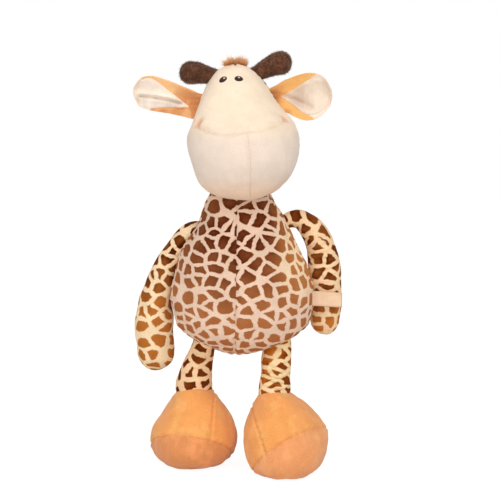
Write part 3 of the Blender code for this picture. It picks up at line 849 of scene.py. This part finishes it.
ear_y = 9.0
ear_wall = 2.3
root_swell = 2.5
full_half = 15
tip_reach = {"left": 79.0 * mm, "right": 54.0 * mm}
tip_height = {"left": 311.5 * mm, "right": 311.8 * mm}
tip_half = 12.6 * mm
tip_slant = 1.35
ear_orange = {"left": (254, 199, 142), "right": (255, 193, 119)}
ear_shade = {
    "left": [(place(-42, 8, 305), 27), (place(-76, 6, 299), 10), (place(-65, 6, 298), 10),
             (place(-54, 6, 296), 10)],
    "right": [(place(29, 8, 311), 12), (place(38, 6, 297), 7)],
}
# Painted light and shade on the linings: the left one is painted lighter on its upper lobe, and both darken
# to lining_dark round their lining_shade places
lining_pale = {"left": (249, 234, 221), "right": (241, 224, 208)}
lining_dark = {"left": (222, 208, 198), "right": (206, 182, 164)}
lining_shade = {
    "left": [(place(x, 7, z), 11) for x, z in ((-58, 303), (-70, 303), (-82, 306))],
    "right": [(place(50, 9, 311.5), 15)],
}


def make_ear(side, top_edge, bottom_edge, lining_top, lining_bottom, crease, crease_depth, crease_width,
             cup, seed):
    """An orange leaf, cupped towards the front, with a pale tip and a lining let into its hollow."""
    rows, around = 78, 84
    rings = []
    for k, (top, bottom) in enumerate(zip(smooth_line(top_edge, rows), smooth_line(bottom_edge, rows))):
        share = k / (rows - 1)
        middle, half = (top + bottom) / 2, (top - bottom) / 2
        width = np.linalg.norm(half) / full_half
        ring = []
        for j in range(around):
            turn = 2 * math.pi * j / around
            v, thick = math.cos(turn), math.sin(turn)
            y = ear_y + cup * (1 - v * v) * min(1.0, 0.35 + width) - 0.45 * cup
            y += ear_wall * thick * min(1.0, 0.4 + width) + root_swell * (1 - share) * (thick > 0)
            x, z = middle + half * v
            ring.append(place(x, y, z))
        rings.append(ring)
    ear = skin_over(f"{side}_ear_cover", rings, np.mean(rings[0], axis=0), np.mean(rings[-1], axis=0))
    crumple(ear, seed, size=18, depth=0.5)
    tree = tree_of(ear)
    crease = smooth_line(places([(x, 0, z) for x, z in crease]), 24)
    crease = met([from_front(tree, point) for point in crease])
    sew(ear, crease, depth=crease_depth, width=crease_width, pucker=0)
    root = np.array(rings[4]).mean(axis=0)
    wrinkle(ear, root, (0.1, 0, 1), reach=11, pitch=4.5, depth=0.5, seed=seed)
    cloth = shaded_plush(f"{side}_ear_plush", ear_orange[side], (206, 132, 80), ear_shade[side], streak=0.4)
    use(ear, f"{side}_ear", "orange", cloth, finishes["ear_tip"])
    for face in ear.data.polygons:
        turns = [2 * math.pi * (corner - 1) / around for corner in face.vertices]
        on_back = np.mean(np.sin(turns)) > 0.3 and max(face.vertices) < (rows - 3) * around
        off_middle = abs(face.center.z - tip_height[side]) - tip_half
        beyond = outward[side] * (face.center.x - axis_x) > tip_reach[side] + tip_slant * off_middle
        face.material_index = int(beyond and not on_back)
    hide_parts(f"{side}_ear_outer")
    make_lining(side, ear, lining_top, lining_bottom)


def make_lining(side, ear, top_edge, bottom_edge):
    """A pale sheet on the front of an ear, sunk into it along its edge."""
    rows, columns = 60, 40
    tops, bottoms = smooth_line(top_edge, rows), smooth_line(bottom_edge, rows)
    tree = tree_of(ear)
    front, back = [], []
    for k in range(rows):
        for j in range(columns + 1):
            v = 1 - 2 * j / columns
            x, z = (tops[k] + bottoms[k]) / 2 + (tops[k] - bottoms[k]) / 2 * v
            spot = from_front(tree, place(x, 0, z))[0]
            swell = max(0.0, min(1.0, 6 * (1 - abs(v)), 8 * k / rows, 8 * (rows - 1 - k) / rows))
            if spot is None:
                spot, swell = tree.find_nearest(Vector(place(x, ear_y, z)))[0], 0
            front.append(np.array(spot) + (0, -0.85 * mm * math.sqrt(swell) - 0.08 * mm, 0))
            back.append(np.array(spot) + (0, 0.5 * mm, 0))
    lining = two_layers(f"{side}_ear_pale_lining", front, back, columns + 1)
    pale = shaded_plush(
        f"{side}_lining_plush", lining_pale[side], lining_dark[side], lining_shade[side], streak=0.3
    )
    use(lining, f"{side}_ear", "lining", pale)
    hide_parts(f"{side}_ear_lining")


# Horns


def make_pile(side, horn):
    """Short upright pile over a horn, leaning a little each its own way."""
    count, length = 2600, 1.3 * mm
    mixer = np.random.default_rng(count)
    points, normals = points_of(horn), points_of(horn, "normal")
    faces = [list(face.vertices) for face in horn.data.polygons]
    areas = np.array([face.area for face in horn.data.polygons])
    feet, aims = [], []
    for k in mixer.choice(len(faces), count, p=areas / areas.sum()):
        weights = mixer.dirichlet(np.ones(len(faces[k])))
        normal = weights @ normals[faces[k]]
        feet.append(weights @ points[faces[k]] - 0.2 * mm * normal)
        aims.append(normal + mixer.normal(size=3) * 0.35)
    rows = zip(feet, aims, length * mixer.uniform(0.7, 1.25, count))
    name = f"{side}_horn_pile"
    strands(name, rows, 0.11, f"{side}_horn", horn_pile, seed=count, steps=3, slot="brown")


def make_horn(side, stations, seam, thread=False):
    horn = limb(f"{side}_horn_cover", stations, rings=40, around=56)
    crumple(horn, seed=31 + outward[side], size=14, depth=0.35)
    middle = np.mean([place(*row[:3]) for row in stations], axis=0)
    line = on_form(horn, places(seam), middle)
    sew(horn, line, depth=0.8, width=0.8, pucker=0.25, pitch=3.4)
    move_out(horn, 0.16 * mm * waves(points_of(horn), size=1.7 * mm, seed=3))
    use(horn, f"{side}_horn", "brown", finishes["brown"])
    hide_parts(f"{side}_horn_skin", f"{side}_horn_stuffing")
    if thread:
        stitches(f"{side}_horn_stitches", horn, line, f"{side}_horn", finishes["horn_thread"])
    make_pile(side, horn)


# Body


def make_body():
    body = stuffed_form(
        "body_cover", top=(0, 0, 244), bottom=(0.5, 0, 95.4),
        left=[(-13, 241.5), (-20.5, 238), (-25.6, 231.5), (-30.5, 222.5), (-34.2, 211.5), (-38.8, 203),
              (-46.6, 190.5), (-53.8, 173), (-58.2, 149.9), (-55.4, 126.5), (-49.6, 116.2), (-39.7, 108.6),
              (-22, 101.2)],
        right=[(13, 241.5), (20.5, 238), (25.4, 231.5), (29.3, 223.2), (35.6, 212), (41.6, 200.5),
               (49.2, 184.4), (57, 167), (60.9, 149), (58.6, 126.1), (48.5, 113.4), (36.5, 107),
               (19.5, 101)],
        front=[(-13, 241.5), (-21, 237), (-26, 229), (-31, 217), (-36, 204), (-42.5, 187), (-48.5, 169),
               (-51, 149), (-46.8, 126), (-39, 112), (-24, 101)],
        back=[(12, 241), (20, 237), (26, 229), (31, 217), (35.5, 205), (42, 187), (48, 169), (50.8, 149),
              (46.5, 125), (38.5, 111), (23, 101)],
        rings=120, around=168,
    )
    crumple(body, seed=21, size=30, depth=0.7)
    high, low = spot_at(body, (237, 219)), spot_at(body, (235, 338))
    front_plane = plane_through(high, low, high + (0, 0.05, 0))
    flank_plane = (place(0, -8, 0), np.array((0.0, 1.0, 0.0)))
    front = panel_seam(body, *front_plane)
    flank = panel_seam(body, *flank_plane)
    sew(body, front, depth=1.3, width=1.2, pucker=0.45, pitch=6.5)
    sew(body, flank, depth=1.2, width=1.2, pucker=0.35)
    wrinkle(body, place(-46, -20, 108), (1, 0, 0.5), reach=16, pitch=7, depth=0.6, seed=4)
    wrinkle(body, place(48, -20, 108), (1, 0, -0.5), reach=16, pitch=7, depth=0.6, seed=6)
    dent(body, place(0, 50, 147), reach=9, depth=3.2)
    panels = ("body_front_left", "body_front_right", "body_back_left", "body_back_right")
    for key in panels:
        body.data.materials.append(finishes[key])
    to_right = front_plane[1] * math.copysign(1, front_plane[1][0])
    for face in body.data.polygons:
        right = (np.array(face.center) - front_plane[0]) @ to_right > 0
        face.material_index = int(right) + 2 * int(face.center.y > flank_plane[0][1])
    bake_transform(body)
    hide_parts(*panels, "body_stuffing", "neck_skin", "neck_stuffing")


# Limbs

limb_grid = {"arm": dict(rings=90, around=72, cap_rings=9), "leg": dict(rings=60, around=64, cap_rings=6)}
limb_unevenness = {"arm": dict(size=24, depth=0.6), "leg": dict(size=20, depth=0.5)}
limb_seed = {"arm": 41, "leg": 51}
fold_seed = {"arm": 8, "leg": 9}


def make_limb(side, kind, stations, wrinkles, seam_pixels=()):
    """An arm or a leg. Its wrinkles are rows of centre, direction, reach, pitch and depth."""
    name = f"{side}_{kind}"
    item = limb(f"{name}_cover", stations, **limb_grid[kind])
    crumple(item, limb_seed[kind] + outward[side], **limb_unevenness[kind])
    for centre, across, reach, pitch, depth in wrinkles:
        wrinkle(item, place(*centre), across, reach, pitch, depth, fold_seed[kind])
    if seam_pixels:
        sew(item, seen_at(item, seam_pixels, count=50), depth=0.9, width=1.0, pucker=0.3)
    use(item, name, "print", finishes[name])
    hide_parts(f"{name}_skin", f"{name}_stuffing")


# Painted shade: the soles are painted darker orange than the uppers, the left one most
shaded_sole_orange = {"left": (232, 153, 96), "right": (245, 167, 110)}


def make_foot(side, top, bottom, left, right, front, back, sole_pixels, toe_pixels, pucker):
    foot = stuffed_form(f"{side}_foot_cover", top, bottom, left, right, front, back, rings=84, around=132)
    press_flat(foot)
    crumple(foot, seed=61 + outward[side], size=24, depth=0.7)
    sole_plane = plane_through(*[spot_at(foot, pixel) for pixel in sole_pixels])
    toe_high, toe_low = [spot_at(foot, pixel) for pixel in toe_pixels]
    toe_plane = plane_through(toe_high, toe_low, (toe_high + toe_low) / 2 + (0, 0.03, 0))
    up = sole_plane[1] * math.copysign(1, sole_plane[1][2])
    sole_seam = panel_seam(foot, *sole_plane)
    toe_seam = panel_seam(foot, *toe_plane)
    toe_seam = part_of(toe_seam, (toe_seam - sole_plane[0]) @ up > 0)
    sew(foot, sole_seam, depth=0.9, width=1.1, pucker=pucker, pitch=6.5)
    sew(foot, toe_seam, depth=0.9, width=1.0, pucker=pucker, pitch=5.5)
    under_crossing = spot_at(foot, sole_pixels[1]) - (0, 0, 7 * mm)
    wrinkle(foot, under_crossing, (1, 0, 0.5), reach=13, pitch=5.5, depth=0.9 * pucker, seed=12)
    for part, line in (("sole", sole_seam), ("toe", toe_seam)):
        stitches(
            f"{side}_{part}_stitches", foot, line, f"{side}_foot", finishes["orange_thread"],
            length=1.9, pitch=2.4, thick=0.15,
        )
    press_flat(foot)
    # Painted shade on the foot's top, round the leg that stands in it
    leg_shade_place = (place(*top) - (0, 0, 2 * mm), 15)
    upper = shaded_plush(f"{side}_upper_plush", (250, 170, 98), (238, 160, 105), [leg_shade_place], grain=0.18)
    sole = shaded_plush(f"{side}_sole_plush", shaded_sole_orange[side], (234, 150, 96), grain=0.16)
    use(foot, f"{side}_foot", "orange", upper, sole)
    for face in foot.data.polygons:
        face.material_index = int((np.array(face.center) - sole_plane[0]) @ up < 0)
    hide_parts(*[f"{side}_foot_{part}" for part in ("upper_left", "upper_right", "sole", "stuffing")])


def press_flat(foot):
    """The foot bears on the floor, so its lowest cloth lies on it."""
    points = points_of(foot)
    points[:, 2] = np.maximum(points[:, 2], 0.1 * mm)
    put_points(foot, points)


# Crest, mane and tail

rng = np.random.default_rng(7)


def in_disc():
    """A random turn, and a random share of a disc's radius."""
    return rng.uniform(0, 2 * math.pi), rng.uniform(0, 1) ** 0.5


def rooted(met_place):
    """The foot of a strand, a little under the cloth that a ray met, and the cloth's normal."""
    spot, normal = np.array(met_place[0]), np.array(met_place[1])
    return spot - normal * 0.5 * mm, normal


def make_crest_and_mane(finish):
    tree = tree_of(head_form)
    rows = []
    # The crest parts into two tufts: their middle, lean and count
    for x_middle, lean, count in ((-7.9, -0.38, 640), (-0.9, 0.26, 760)):
        for _ in range(count):
            turn, reach = in_disc()
            above = place(x_middle + 4.2 * reach * math.cos(turn), 14 + 8.0 * reach * math.sin(turn), 380)
            foot = rooted(tree.ray_cast(Vector(above), Vector((0, 0, -1))))[0]
            away = np.array((lean + 0.5 * reach * math.cos(turn), -0.25 + 0.3 * reach * math.sin(turn), 0.9))
            away += rng.normal(size=3) * 0.13
            rows.append((foot, away, rng.uniform(4.6, 6.6) * mm * (1 - 0.25 * reach)))
    crest = strands("crest_fur", rows, 0.30, "head", finish, seed=5)
    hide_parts("crest")
    inside = Vector(place(-3, 10, 300))
    rows = []
    for _ in range(1700):
        turn = rng.uniform(math.radians(-28), math.radians(66))
        away = Vector((0, math.cos(turn), math.sin(turn)))
        start = inside + away * 0.12 + Vector((rng.uniform(-6.5, 6.5) * mm, 0, 0))
        foot, normal = rooted(tree.ray_cast(start, -away))
        away = normal + rng.normal(size=3) * 0.22 + (0, 0, -0.15)
        rows.append((foot, away, rng.uniform(4.5, 6.5) * mm))
    mane = strands("mane_fur", rows, 0.32, "head", finish, seed=6, droop=0.15)
    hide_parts("mane")


def make_tail(finish):
    low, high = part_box("tail_tuft")
    x, y, z = (np.array(joint_place["tail_swing"]) - (axis_x, axis_y, 0)) / mm
    reach = ((low[1] + high[1]) / 2 - axis_y) / mm - y
    drop = z - high[2] / mm
    stations = [
        (x, y - 4, z, 2.6, 2.6), (x, y + reach * 0.55, z - 0.5, 3.1, 3.1),
        (x, y + reach * 0.95, z - drop * 0.35, 3.3, 3.3), (x, y + reach, z - drop - 1, 3.0, 3.0),
    ]
    tail = limb("tail_cover", stations, rings=50, around=28, cap_rings=4)
    crumple(tail, seed=71, size=9, depth=0.25)
    use(tail, "tail", "print", finishes["tail"])
    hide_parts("tail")
    middle = np.array(((low[0] + high[0]) / 2, (low[1] + high[1]) / 2, high[2] - 2 * mm))
    rows = []
    for _ in range(620):
        turn, spread = in_disc()
        side = np.array((math.cos(turn), math.sin(turn), 0))
        foot = middle + side * 3.0 * mm * spread + np.array((0, 0, rng.uniform(0, 5) * mm))
        away = side * (0.08 + 0.20 * spread) + (0, 0, -1) + rng.normal(size=3) * 0.05
        rows.append((foot, away, rng.uniform(11, 15) * mm))
    tuft = strands("tail_fur", rows, 0.38, "tail", finish, seed=9)
    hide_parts("tail_tuft")


# Label


def ribbon_weave():
    """Crossing threads, darker along the two borders."""
    cloth = Cloth("ribbon_weave", roughness=0.7, sheen=0.2)
    across, along = [
        cloth.add(
            "ShaderNodeTexWave", {"Vector": cloth.where, "Scale": 1 / (2.4 * mm)},
            wave_type="BANDS", bands_direction=direction,
        ).outputs["Fac"]
        for direction in ("X", "Z")
    ]
    weave = cloth.times(across, along)
    tone = cloth.between(cloth.noise(8), 0.3, 0.7)
    tone = cloth.mix(tone, linear((228, 194, 165)), linear((238, 206, 178)))
    colour = cloth.mix(cloth.times(weave, 0.35), tone, linear((205, 168, 134)))
    border = cloth.add("ShaderNodeAttribute", attribute_name="border").outputs["Fac"]
    border = cloth.times(cloth.between(border, 0.62, 0.95), 0.5)
    cloth.paint(cloth.mix(border, colour, linear((222, 176, 140))))
    cloth.emboss(weave, 0.4, 0.2)
    return cloth.material


def make_label():
    """A bare woven ribbon, folded double at its free end."""
    low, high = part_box("label")
    rows, columns = 45, 10
    root = low[0] - 1.5 * mm
    length = high[0] - root
    half = (high[2] - low[2]) / 2
    middle_y, middle_z = (low[1] + high[1]) / 2, (low[2] + high[2]) / 2
    gap, thick = 0.45 * mm, 0.3 * mm
    path = [(0, -0.2), (0.3, -0.9), (0.6, -1), (0.9, -0.9), (1, 0), (0.9, 0.9), (0.6, 0.9), (0.3, 0.7),
            (0, 0.2)]
    line = smooth_line([(share * length, side * gap) for share, side in path], rows)
    runs = np.gradient(line, axis=0)
    runs /= np.linalg.norm(runs, axis=1)[:, None]
    outer, inner, borders = [], [], []
    for (x, y), (dx, dy) in zip(line, runs):
        share = x / length
        for j in range(columns + 1):
            v = 2 * j / columns - 1
            borders.append(abs(v))
            curl = -0.8 * mm * math.sin(share * math.pi * 0.9) + 0.35 * mm * v * math.sin(share * 5)
            z = middle_z - 0.9 * mm - 1.3 * mm * share + half * v + 0.3 * mm * math.sin(share * 4)
            for side, layer in ((1, outer), (-1, inner)):
                nudge = side * thick / 2
                layer.append((root + x + dy * nudge, middle_y + curl + y - dx * nudge, z))
    ribbon = two_layers("ribbon_label", outer, inner, columns + 1)
    ribbon.data.attributes.new("border", "FLOAT", "POINT").data.foreach_set("value", borders * 2)
    use(ribbon, "body", "ribbon", ribbon_weave())
    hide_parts("label")


make_head()
make_eye("left", pixel=(223, 79.5), glint_pixel=(224.6, 78.8), tilt=math.radians(28))
make_eye("right", pixel=(238.8, 78.7), glint_pixel=(238.9, 78.2), tilt=math.radians(-4))
make_ear(
    "left",
    top_edge=[(-28, 313), (-38, 316), (-47, 319.5), (-61.6, 325.7), (-74.5, 329.4), (-83.5, 327.2),
              (-89.2, 319.5)],
    bottom_edge=[(-30, 296), (-39, 293.6), (-51, 296), (-63.5, 298.6), (-77, 300.8), (-85.2, 304.6),
                 (-89.6, 315.2)],
    lining_top=[(-43.6, 304), (-52.4, 311), (-61.5, 317.8), (-68.9, 324), (-76, 327.4), (-82.4, 325.6),
                (-86.8, 318)],
    lining_bottom=[(-43.6, 303.2), (-52.4, 302.6), (-61.6, 303.2), (-71.6, 302.4), (-78.5, 302.4),
                   (-84.4, 306.6), (-87, 316.2)],
    crease=[(-84, 312.4), (-67.4, 310.3), (-50, 306.4)],
    crease_depth=3.4, crease_width=1, cup=7, seed=81,
)
make_ear(
    "right",
    top_edge=[(20, 317), (28, 321), (35.1, 325.2), (46.7, 329.9), (58.4, 332), (69.2, 328), (75.4, 317.8)],
    bottom_edge=[(26, 302), (33, 301.5), (39.3, 298.6), (47.7, 294), (56.1, 292.6), (66, 295.8),
                 (74, 304.3), (76.1, 312.8)],
    lining_top=[(34.2, 312.4), (46, 319.2), (57.5, 326.4), (66.4, 326.4), (72, 320.6), (74.2, 314.6)],
    lining_bottom=[(34.2, 311.6), (44.5, 304), (53.6, 297.4), (64.2, 298.2), (71.4, 304.9), (74, 312.4)],
    crease=[(36, 311.3), (46, 308.5), (58, 303)],
    crease_depth=2.2, crease_width=1.9, cup=9.5, seed=82,
)
make_horn(
    "left",
    [(-14, 12, 325.5, 5.6, 5.6), (-22, 12, 328.3, 6.2, 6.2), (-30, 12, 330.2, 7.4, 7.2),
     (-37, 12, 331.6, 8.8, 8.4), (-42.2, 12, 331.8, 9.2, 9)],
    seam=[(-15, 9, 345), (-30, 6, 350), (-45, 4, 348), (-60, 4, 336)],
)
make_horn(
    "right",
    [(9, 12, 329, 5.8, 5.8), (16, 12, 332.4, 6.6, 6.4), (23, 12, 336, 7.8, 7.4), (29, 12, 338.6, 9.4, 9),
     (32.4, 12, 339.6, 10, 9.6)],
    seam=[(8, 8, 352), (22, 4, 356), (36, 1, 358), (52, 2, 346)],
    thread=True,
)
make_body()
make_limb(
    "left", "arm",
    [(-31, 8, 198, 7, 8), (-37, 8, 200, 7.6, 8.4), (-44, 8, 197, 8, 9), (-51.5, 8, 189, 8.6, 10),
     (-59.6, 8, 176.5, 9.6, 11.5), (-67.4, 8, 159, 11.4, 13), (-72.4, 8, 140, 13.6, 14),
     (-74, 8, 118, 16.6, 15), (-72.8, 8, 101, 16, 14.4), (-72.6, 8, 95, 15.6, 14)],
    wrinkles=[((-55, -3, 186), (0.6, 0, -1), 15, 6, 1.1), ((-66, -4, 150), (0.2, 0, -1), 18, 8, 0.7)],
)
make_limb(
    "right", "arm",
    [(32, 8, 203, 6, 6.5), (38, 8, 207, 6.4, 7), (44, 8, 209, 7.4, 8), (51, 8, 208, 8.6, 9),
     (59, 8, 201.5, 10, 10.4), (65.5, 8, 191, 11.6, 11.6), (69.5, 8, 175, 13.2, 12.4),
     (71, 8, 155, 13.8, 13), (71.6, 8, 136, 13.6, 13), (71.6, 8, 123.5, 12.8, 12)],
    wrinkles=[((58, -3, 192), (0.6, 0, -1), 15, 4.8, 1.7), ((66, -4, 172), (0.2, 0, -1), 17, 5.2, 1.6)],
    seam_pixels=[(338, 292), (336, 306), (332, 318), (328, 333)],
)
make_limb(
    "left", "leg",
    [(-30, -3, 112, 9, 10), (-31.5, -3, 104, 9.6, 11), (-34.6, -2, 93, 11.4, 12.4),
     (-37.4, -1, 82, 13.4, 13.8), (-39.6, 0, 71, 15.4, 15), (-40.2, 1, 62, 15.4, 15),
     (-40.2, 1, 56, 14, 14)],
    wrinkles=[((-38, -12, 84), (0.1, 0, 1), 15, 7, 0.8), ((-36, -12, 98), (0.2, 0, 1), 11, 4.6, 1.1)],
)
make_limb(
    "right", "leg",
    [(31.5, -7, 112, 11, 10), (31, -8, 104, 11.6, 11), (30.2, -10, 93, 12.2, 12),
     (29.2, -12, 83, 12.6, 12.6), (28.4, -14, 73, 13.2, 13.2), (28, -16, 64, 13.2, 13.2),
     (28, -17, 58, 12, 12)],
    wrinkles=[((30, -22, 86), (0.05, -0.2, 1), 22, 5.2, 1.3),
              ((29, -26, 70), (0.05, -0.2, 1), 12, 4.6, 0.9)],
)
make_foot(
    "left", top=(-38, -4, 70), bottom=(-41, 0, -0.9),
    left=[(-46, 67.2), (-52.4, 63.8), (-60.4, 54.2), (-68.6, 43.4), (-74.6, 33.2), (-77, 23.6), (-76, 13.8),
          (-71, 5.8), (-60, 0.6)],
    right=[(-30, 67), (-24, 63.4), (-16.4, 54), (-9.2, 43.4), (-5, 33.2), (-3.4, 23.8), (-4.4, 14.4),
           (-9.6, 6.6), (-19.5, 0.8)],
    front=[(-14, 68.4), (-21.5, 63), (-29, 53), (-34.5, 42), (-39, 31), (-40.5, 21), (-38, 12), (-33, 5.5),
           (-24, 0.6)],
    back=[(10, 67), (19, 62), (28, 53), (35, 42), (39.5, 31), (41, 21), (39, 12), (34, 5.5), (25, 0.6)],
    sole_pixels=[(152, 440), (190, 436.5), (231, 450)],
    toe_pixels=[(214, 401), (211, 434)],
    pucker=0.45,
)
make_foot(
    "right", top=(28, -17, 68.5), bottom=(37, -25, -0.9),
    left=[(20, 67.5), (15.5, 64), (10.6, 55.6), (5.6, 46.4), (2.6, 37.2), (1.8, 28), (2.6, 17.4), (6.2, 8),
          (14, 0.9)],
    right=[(35, 67.5), (42, 65), (50.6, 59.4), (59.2, 52.4), (66.8, 44.2), (71.8, 35.2), (72.8, 26),
           (71.2, 15.6), (66.2, 6.8), (57, 0.9)],
    front=[(-31, 67.5), (-42, 63), (-52, 54), (-60, 43), (-65.5, 32), (-67.5, 22), (-65.5, 12), (-61, 5),
           (-53, 0.6)],
    back=[(-6, 67), (0, 62), (5, 53), (10.5, 42), (15, 31), (17, 21), (15, 12), (10, 5.5), (0, 0.6)],
    sole_pixels=[(257, 462), (290, 438), (325, 427)],
    toe_pixels=[(252.5, 410), (264, 449)],
    pucker=0.6,
)
fur = fur_cloth("orange_fur", (214, 130, 66), (243, 192, 142))
make_crest_and_mane(fur)
make_tail(fur)
make_label()


# Stage


def bright_where_seen(nodes, seen, otherwise, target):
    """Mixes two shaders, so that the camera and reflections see the first one."""
    path = nodes.add("ShaderNodeLightPath").outputs
    rays = path["Is Camera Ray"]
    for name in ("Is Glossy Ray", "Is Transmission Ray"):
        rays = nodes.add("ShaderNodeMath", {0: rays, 1: path[name]}, operation="MAXIMUM").outputs[0]
    both = nodes.add("ShaderNodeMixShader", {0: rays, 1: otherwise, 2: seen})
    nodes.feed(nodes.tree.nodes[target].inputs["Surface"], both.outputs[0])


def make_floor():
    bpy.ops.mesh.primitive_plane_add(size=8.0, location=(0, 0, -0.2 * mm))
    floor = bpy.context.object
    floor.name = "floor"
    cloth = Cloth("floor", roughness=1.0, sheen=0, specular=0)
    cloth.paint((0.86, 0.85, 0.83, 1))
    dull = cloth.tree.nodes["Principled BSDF"].outputs[0]
    white = cloth.add("ShaderNodeEmission", {"Strength": 1.16}).outputs[0]
    pale = cloth.add("ShaderNodeMixShader", {0: 0.80, 1: dull, 2: white}).outputs[0]
    bright_where_seen(cloth, pale, dull, "Material Output")
    floor.data.materials.append(cloth.material)


def make_world(strength):
    world = bpy.data.worlds.new("studio")
    bpy.context.scene.world = world
    world.use_nodes = True
    nodes = Nodes(world.node_tree)
    soft = nodes.tree.nodes["Background"]
    soft.inputs["Color"].default_value = (1.0, 0.985, 0.96, 1)
    soft.inputs["Strength"].default_value = strength
    white = nodes.add("ShaderNodeBackground", {"Color": (1, 1, 1, 1)})
    bright_where_seen(nodes, white.outputs[0], soft.outputs[0], "World Output")


def placed(name, data, spot, towards):
    """A lamp or camera in the scene, facing along a direction."""
    item = bpy.data.objects.new(name, data)
    bpy.context.scene.collection.objects.link(item)
    item.location = spot
    item.rotation_euler = towards.to_track_quat("-Z", "Y").to_euler()
    return item


def make_lamp(name, spot, size, power, colour):
    lamp = bpy.data.lights.new(name, "AREA")
    lamp.size = size
    lamp.energy = power
    lamp.color = colour
    placed(name, lamp, spot, aim - Vector(spot))


def make_camera():
    lens = bpy.data.cameras.new("camera")
    lens.sensor_width = sensor
    lens.lens = focal_pixels / photo_size * sensor
    bpy.context.scene.camera = placed("camera", lens, camera_place, -to_camera)


make_floor()
make_world(strength=0.53)
make_lamp("key", (0.45, -0.75, 1.15), size=0.7, power=6.7, colour=(1.0, 0.96, 0.90))
make_lamp("fill", (-0.75, -0.65, 0.75), size=0.9, power=4.0, colour=(1.0, 0.97, 0.94))
make_lamp("low", (0.1, -1.1, 0.12), size=0.6, power=3.4, colour=(1.0, 0.97, 0.93))
make_camera()
bpy.context.scene.view_settings.view_transform = "Standard"
